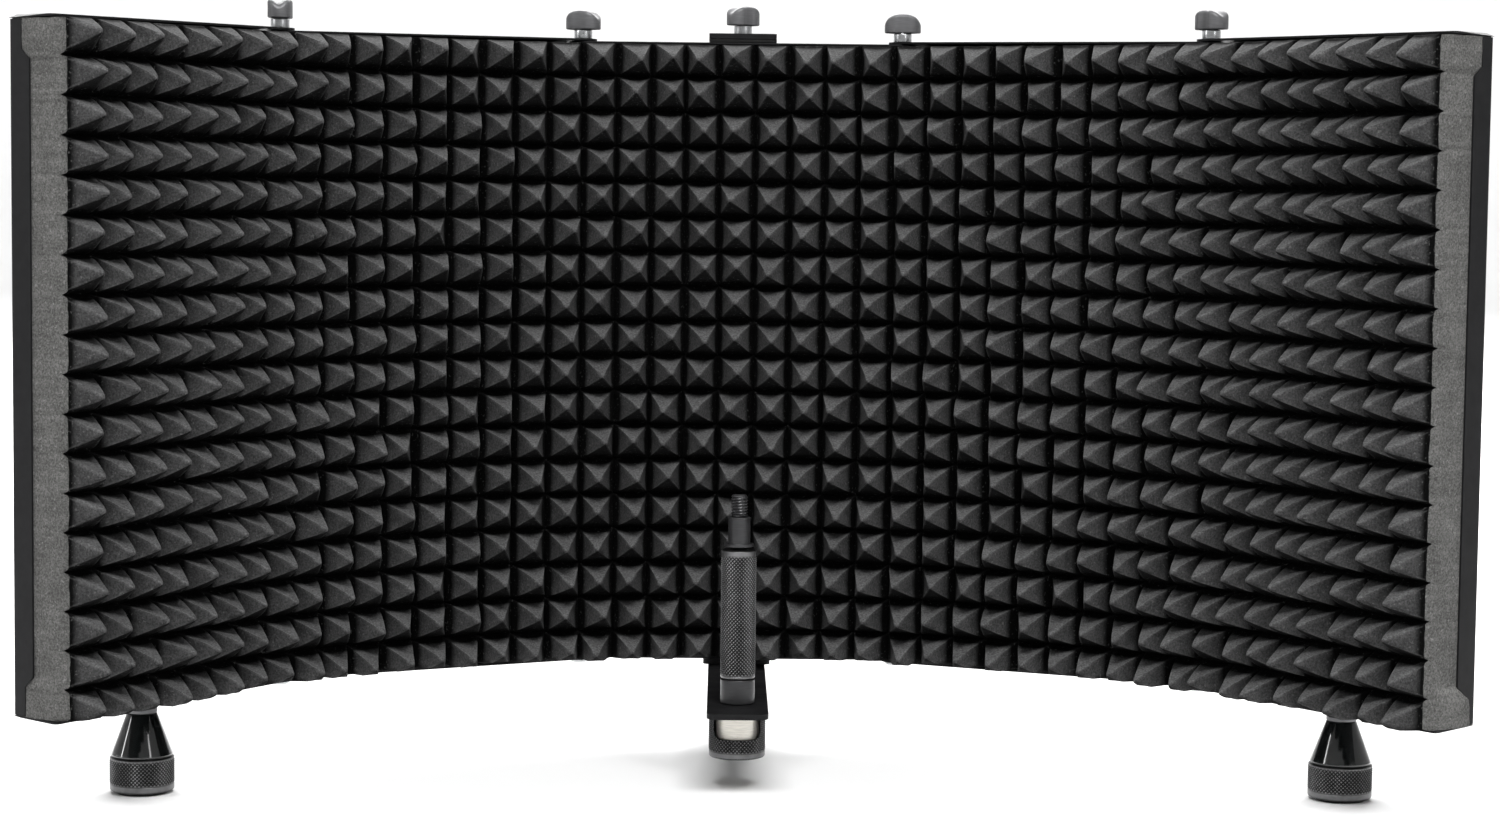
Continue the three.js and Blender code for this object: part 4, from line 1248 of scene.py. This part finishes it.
def make_bracket():
    low, high = node_box("rear_bracket")
    front, back = low.y - CENTRE.y, high.y - CENTRE.y
    strip = Strip([(front, low.z), (back, low.z), (back, high.z), (front, high.z)], BRACKET_BEND)
    half = (high.x - low.x) / 2
    clamp_x, clamp_t = local("clamp_thumb_shank")
    foot_x, foot_t = local("rear_foot_stud")
    holes = [round_hole(clamp_x, strip.length - (clamp_t - front), SCREW_HOLE),
             round_hole(foot_x, foot_t - front, STUD_HOLE)]
    for word in SIDES:
        x, t = local(f"arm_screw_{word}")
        holes.append(round_hole(x, t - front, ARM_SCREW_HOLE))
    creases = [((-half + 0.5, a + (b - a) * i / 8), (half - 0.5, a + (b - a) * i / 8))
               for a, b in strip.bends for i in range(9)]
    panel = PANELS["centre"]

    def place(x, v):
        (t, z), (nt, nz) = strip.at(v)
        return panel.point(x, t, z), panel.direction(0, nt, nz)

    bracket = fold_sheet("clamp_bracket", round_plate(-half, half, 0, strip.length, CORNER), holes, creases,
                         place, BRACKET_PLATE, BLACK_STEEL, 0.5)
    stands_for(bracket, "black_steel", "rear_bracket")

    low, high = node_box("microphone_arm")
    half, front, back = (high.x - low.x) / 2, low.y - CENTRE.y, high.y - CENTRE.y
    holes = [round_hole(0, local("pole_neck")[1], STUD_HOLE), round_hole(foot_x, foot_t, STUD_HOLE)]
    holes += [round_hole(*local(f"arm_screw_{word}"), ARM_SCREW_HOLE) for word in SIDES]
    arm = fold_sheet("microphone_arm_plate", round_plate(-half, half, front, back, 6.0), holes, [],
                     flat_place(high.z), high.z - low.z, BLACK_STEEL, 0.5)
    stands_for(arm, "black_steel", "microphone_arm")

    low, high = node_box("bracket_pad")
    half, front, back = (high.x - low.x) / 2, low.y - CENTRE.y, high.y - CENTRE.y
    holes = [round_hole(clamp_x, clamp_t, SCREW_HOLE)]
    pad = fold_sheet("rubber_pad", round_plate(-half, half, front, back, 1.5), holes, [],
                     flat_place(high.z), high.z - low.z, RUBBER, 0.3)
    stands_for(pad, "rubber", "bracket_pad")


# ------------------------------------------------------------------ screws, nuts and rivets
COLLAR = 5.0
COLLAR_RADIUS = 5.2
HEAD_TURN = {"left_inner": -25, "right_inner": -5, "left_outer": 93, "right_outer": -56, "clamp": 40}
HEAD_LENGTH, HEAD_WIDTH, HEAD_WAIST = 21.0, 13.0, 0.8
HEAD_DOME = 17.0
HEAD_HOLLOW = 1.5


def head_outline(count):
    """A waisted oblong, evenly walked round, with its outward normals."""
    end = HEAD_WIDTH / 2
    straight = HEAD_LENGTH / 2 - end
    length = 4 * straight + TAU * end
    points = []

    def side(x):
        """Half width at x on a waisted side."""
        return end - HEAD_WAIST * (1 - (x / straight) ** 2)

    for j in range(count):
        d = length * j / count
        if d < 2 * straight:
            x = straight - d
            points.append(Vector((x, side(x))))
        elif d < 2 * straight + math.pi * end:
            angle = math.pi / 2 + (d - 2 * straight) / end
            points.append(Vector((-straight + end * math.cos(angle), end * math.sin(angle))))
        elif d < 4 * straight + math.pi * end:
            x = -straight + d - 2 * straight - math.pi * end
            points.append(Vector((x, -side(x))))
        else:
            angle = -math.pi / 2 + (d - 4 * straight - math.pi * end) / end
            points.append(Vector((straight + end * math.cos(angle), end * math.sin(angle))))
    normals = []
    for j in range(count):
        step = points[(j + 1) % count] - points[j - 1]
        normals.append(Vector((step.y, -step.x)).normalized())
    return points, normals


def thumb_head(name, node, turn):
    """A waisted grip with a saddle top: domed along its length, hollow across it, every edge rounded."""
    low, high = node_box(node)
    points, normals = head_outline(72)
    spin = Matrix.Rotation(math.radians(turn), 2)
    bottom_round, top_round = 0.7, 1.9

    def top(point):
        dome = HEAD_DOME - math.sqrt(HEAD_DOME ** 2 - point.x ** 2)
        hollow = HEAD_HOLLOW * (0.5 + 0.5 * math.cos(math.pi * min(1.0, abs(point.y) / 4.6)))
        return high.z - dome - hollow

    def ring(inset, height, shrink=1.0):
        out = []
        for point, normal in zip(points, normals):
            moved = (point - normal * inset) * shrink
            turned_point = spin @ moved
            out.append((turned_point.x, turned_point.y, height(moved)))
        return out

    rings = [ring(HEAD_WIDTH / 2 - 2.2, lambda p: low.z + 0.8), ring(2.2, lambda p: low.z + 0.8),
             ring(2.0, lambda p: low.z)]
    for i in range(5):
        angle = math.pi / 2 * i / 4
        inset, rise = bottom_round * (1 - math.sin(angle)), bottom_round * (1 - math.cos(angle))
        rings.append(ring(inset, lambda p, rise=rise: low.z + rise))
    for i in range(9):
        angle = math.pi / 2 * i / 8
        inset, drop = top_round * (1 - math.cos(angle)), top_round * (1 - math.sin(angle))
        rings.append(ring(inset, lambda p, drop=drop: top(p) - drop))
    rings += [ring(top_round, top, 1 - i / 8.5) for i in range(1, 9)]
    return loft(name, rings, KNOB, flat_centre(node), smooth_angle=50.0)


def hexagon(flat_radius, z, count=48):
    out = []
    for j in range(count):
        angle = TAU * j / count
        away = (angle + math.pi / 6) % (math.pi / 3) - math.pi / 6
        radius = flat_radius / math.cos(away)
        out.append((radius * math.cos(angle), radius * math.sin(angle), z))
    return out


def hex_nut(name, node, hole):
    """A hexagon nut with turned chamfers and a countersunk hole."""
    low, high = node_box(node)
    flat = node_radius(node) * math.cos(math.pi / 6)
    sunk, face, chamfer = hole + 0.6, flat * 0.97, 0.7
    rings = circles([(hole, low.z + chamfer), (sunk, low.z), (face, low.z)], 48)
    rings += [hexagon(flat, low.z + chamfer), hexagon(flat, high.z - chamfer)]
    rings += circles([(face, high.z), (sunk, high.z), (hole, high.z - chamfer)], 48)
    nut = loft(name, rings, STEEL, flat_centre(node), closed=True, smooth_angle=25.0)
    stands_for(nut, "zinc", node)


def make_screws():
    for key, turn in HEAD_TURN.items():
        shank, head = f"{key}_thumb_shank", f"{key}_thumb_head"
        low, high = node_box(shank)
        face = high.z - COLLAR
        rings = thread_rings(2.95, low.z, face + 0.2, 1.0)
        collar = [(2.9, face), (COLLAR_RADIUS, face), (COLLAR_RADIUS, high.z), (1.0, high.z)]
        rings += circles(fillet(collar, 0.45), 48)
        stands_for(loft(f"{key}_screw", rings, STEEL, flat_centre(shank)), "zinc", shank)
        stands_for(thumb_head(f"{key}_grip", head, turn), "knob_grey", head)
    for key in HEAD_TURN:
        hex_nut(f"{key}_hex_nut", f"{key}_nut", 3.3)
    for word in SIDES:
        hex_nut(f"{word}_foot_hex_nut", f"{word}_foot_nut", STUD_HOLE)
        for where in ("inner", "outer"):
            rivet(f"{word}_{where}_lower_pivot")
        button_screw(f"arm_screw_{word}")


def rivet(node):
    low, high = node_box(node)
    head, grip = node_radius(node), 3.0
    profile = [(0.6, low.z), (head * 0.72, low.z), (head, low.z + 1.2), (head, low.z + 2)]
    profile += [(grip, low.z + 2), (grip, high.z - 2)]
    profile += [(head, high.z - 2), (head, high.z - 1), (head * 0.8, high.z), (0.6, high.z)]
    stands_for(lathe(f"{node}_rivet", profile, STEEL, flat_centre(node), 0.4), "zinc", node)


def button_screw(node):
    """A button-head screw, head down, with a hexagon socket."""
    low, high = node_box(node)
    head, under = node_radius(node), low.z + 2.4
    rings = [hexagon(1.3, low.z + 1.5), hexagon(1.45, low.z + 0.15), circle(1.9, low.z, 48)]
    for i in range(1, 7):
        angle = math.pi / 2 * i / 6
        rings.append(circle(1.9 + (head - 1.9) * math.sin(angle), low.z + 1.9 * (1 - math.cos(angle)), 48))
    rings += [circle(head, under, 48), circle(2.45, under, 48)] + thread_rings(2.4, under + 0.2, high.z, 0.8)
    stands_for(loft(f"{node}_button", rings, STEEL, flat_centre(node)), "zinc", node)


# ------------------------------------------------------------------ pole and stand adapter
NECK_PITCH = 25.4 / 16           # the 3/8 in microphone thread
NECK_THREAD = 4.7


def make_stud(name, node, centre):
    low, high = node_box(node)
    rings = thread_rings(STUD_RADIUS, low.z, high.z, STUD_PITCH)
    stands_for(loft(name, rings, STEEL, centre), "zinc", node)


def make_pole():
    centre = flat_centre("pole_neck")
    bore = STUD_HOLE
    low, high = node_box("pole_ferrule")
    radius = (high.x - low.x) / 2
    profile = [(bore, low.z), (radius, low.z), (radius, high.z), (bore, high.z)]
    ferrule = lathe("pole_foot", profile, SMOOTH_DARK, centre, 0.6, closed=True)
    stands_for(ferrule, "knurled", "pole_ferrule")

    low, high = node_box("pole_grip")
    radius = node_radius("pole_grip")
    band = (low.z + 1.6, high.z - 3.0)
    root = radius - 0.2
    below = [(0.8, low.z + 22), (bore, low.z + 22), (bore, low.z), (radius - 0.8, low.z), (root, low.z + 0.7),
             (root, low.z + 1.5)]
    above = [(root, high.z - 2.9), (root, high.z - 0.7), (radius - 0.9, high.z), (bore, high.z),
             (bore, high.z - 14), (0.8, high.z - 14)]
    grip = knurled("pole_knurl", below, radius, *band, above, KNURL, centre)
    mark_crests(grip, centre, radius)
    stands_for(grip, "knurled", "pole_grip")

    low, high = node_box("pole_neck")
    seat = node_box("pole_grip")[1].z
    ring, neck_top = seat + 1.6, high.z - 12
    neck = [(3.4, ring - 0.9), (3.9, ring), (8.0, ring), (8.0, ring + 1.5), (6.0, ring + 1.5),
            (6.0, neck_top), (4.4, neck_top)]
    rings = thread_rings(STUD_RADIUS, low.z, ring - 1.0, STUD_PITCH)
    rings += circles(fillet(neck, 0.35), 48)
    rings += thread_rings(NECK_THREAD, neck_top + 0.2, high.z, NECK_PITCH)
    stands_for(loft("pole_stud", rings, SMOOTH_DARK, centre), "black_turned", "pole_neck")

    make_stud("through_stud", "through_bolt", centre)


def make_adapter():
    centre = flat_centre("pole_neck")
    low, high = node_box("adapter_sleeve")
    radius, inner = node_radius("adapter_sleeve"), 12.3
    root = radius - 0.2
    below = fillet([(inner - 0.2, low.z), (root, low.z), (root, low.z + 3.0)], 2.6, 7)
    above = [(root, high.z - 1.2), (radius - 0.9, high.z), (inner, high.z)]
    band = (low.z + 3.1, high.z - 1.4)
    sleeve = knurled("adapter_knurl", below, radius, *band, above, KNURL, centre, closed=True)
    cut_window(sleeve, centre, high.z)
    mark_crests(sleeve, centre, radius)
    stands_for(sleeve, "knurled", "adapter_sleeve")

    low, high = node_box("adapter_bushing")
    outer, bore, bolt = node_radius("adapter_bushing"), 7.35, STUD_HOLE
    roof = high.z - 7.5
    shell = [(8.6, low.z), (outer, low.z), (outer, high.z), (bolt, high.z), (bolt, roof), (bore, roof)]
    rings = circles(fillet(shell, 0.5), 64)
    rings += thread_rings(bore, low.z + 0.9, roof - 0.2, 0.94, 64, inner=True)[::-1]
    stands_for(loft("adapter_bush", rings, NICKEL, centre, closed=True), "nickel", "adapter_bushing")


def cut_window(sleeve, centre, top):
    """A rounded window in the front of the sleeve, open at the top, that shows the bright bushing."""
    half, deep, corner = 12.6, 15.0, 4.0
    sill = top - deep
    outline = [(-half, top + 2)] + arc_points(-half + corner, sill + corner, corner, 180, 270, 8)
    outline += arc_points(half - corner, sill + corner, corner, 270, 360, 8) + [(half, top + 2)]
    count = len(outline)
    vertices = [centre + Vector((x, y, z)) for y in (-20.0, -3.0) for x, z in outline]
    faces = [tuple(range(count)), tuple(range(2 * count - 1, count - 1, -1))]
    faces += [((i + 1) % count, i, i + count, (i + 1) % count + count) for i in range(count)]
    cutter = build_mesh("window_cutter", vertices, faces, KNURL)
    modifier = sleeve.modifiers.new("window", "BOOLEAN")
    modifier.operation = "DIFFERENCE"
    modifier.object = cutter
    modifier.solver = "EXACT"
    apply_modifiers(sleeve)
    bpy.data.objects.remove(cutter)


# ------------------------------------------------------------------ feet
def make_foot(word):
    centre = flat_centre(f"{word}_foot_cone")
    _, high = node_box(f"{word}_foot_pad")
    radius = node_radius(f"{word}_foot_pad")
    profile = [(0.8, 0.0), (radius * 0.45, 0.0), (radius * 0.5, 0.25), (radius * 0.55, 0.0), (radius, 0.0),
               (radius, high.z), (0.8, high.z)]
    pad = lathe(f"{word}_foot_rubber", profile, RUBBER, centre, 0.25)
    stands_for(pad, "rubber", f"{word}_foot_pad")

    low, high = node_box(f"{word}_foot_base")
    radius, spigot = node_radius(f"{word}_foot_base"), 6.3
    root = radius - 0.2
    below = fillet([(spigot, low.z), (root, low.z), (root, low.z + 3.6)], 3.4, 7)
    above = [(root, high.z - 0.8), (radius - 1.0, high.z), (spigot, high.z)]
    band = (low.z + 3.7, high.z - 0.9)
    base = knurled(f"{word}_foot_knurl", below, radius, *band, above, KNURL, centre, closed=True)
    mark_crests(base, centre, radius)
    stands_for(base, "knurled", f"{word}_foot_base")

    low, high = node_box(f"{word}_foot_cone")
    base_top = node_box(f"{word}_foot_base")[1].z + 0.3
    radius, neck = node_radius(f"{word}_foot_cone"), node_radius(f"{word}_foot_collar")
    profile = [(0.8, low.z), (6.0, low.z), (6.0, base_top), (radius, base_top), (radius, base_top + 1.0),
               (neck, high.z), (4.5, high.z), (4.5, high.z - 9), (0.8, high.z - 9)]
    cone = lathe(f"{word}_foot_lacquered", profile, GLOSS, centre, 0.5, 96)
    stands_for(cone, "gloss_black", f"{word}_foot_cone")

    low, high = node_box(f"{word}_foot_collar")
    profile = [(4.5, low.z), (neck, low.z), (neck, high.z), (4.5, high.z)]
    collar = lathe(f"{word}_foot_ring", profile, COLLAR_GREY, centre, 0.5, closed=True)
    stands_for(collar, "knurled", f"{word}_foot_collar")

    make_stud(f"{word}_foot_thread", f"{word}_foot_stud", centre)


# ------------------------------------------------------------------ build
make_camera()
make_stage()
make_lights()
make_foam()
make_trays()
make_bracket()
make_screws()
make_pole()
make_adapter()
for foot in ("left", "right", "rear"):
    make_foot(foot)

bpy.context.scene.view_settings.view_transform = "Standard"
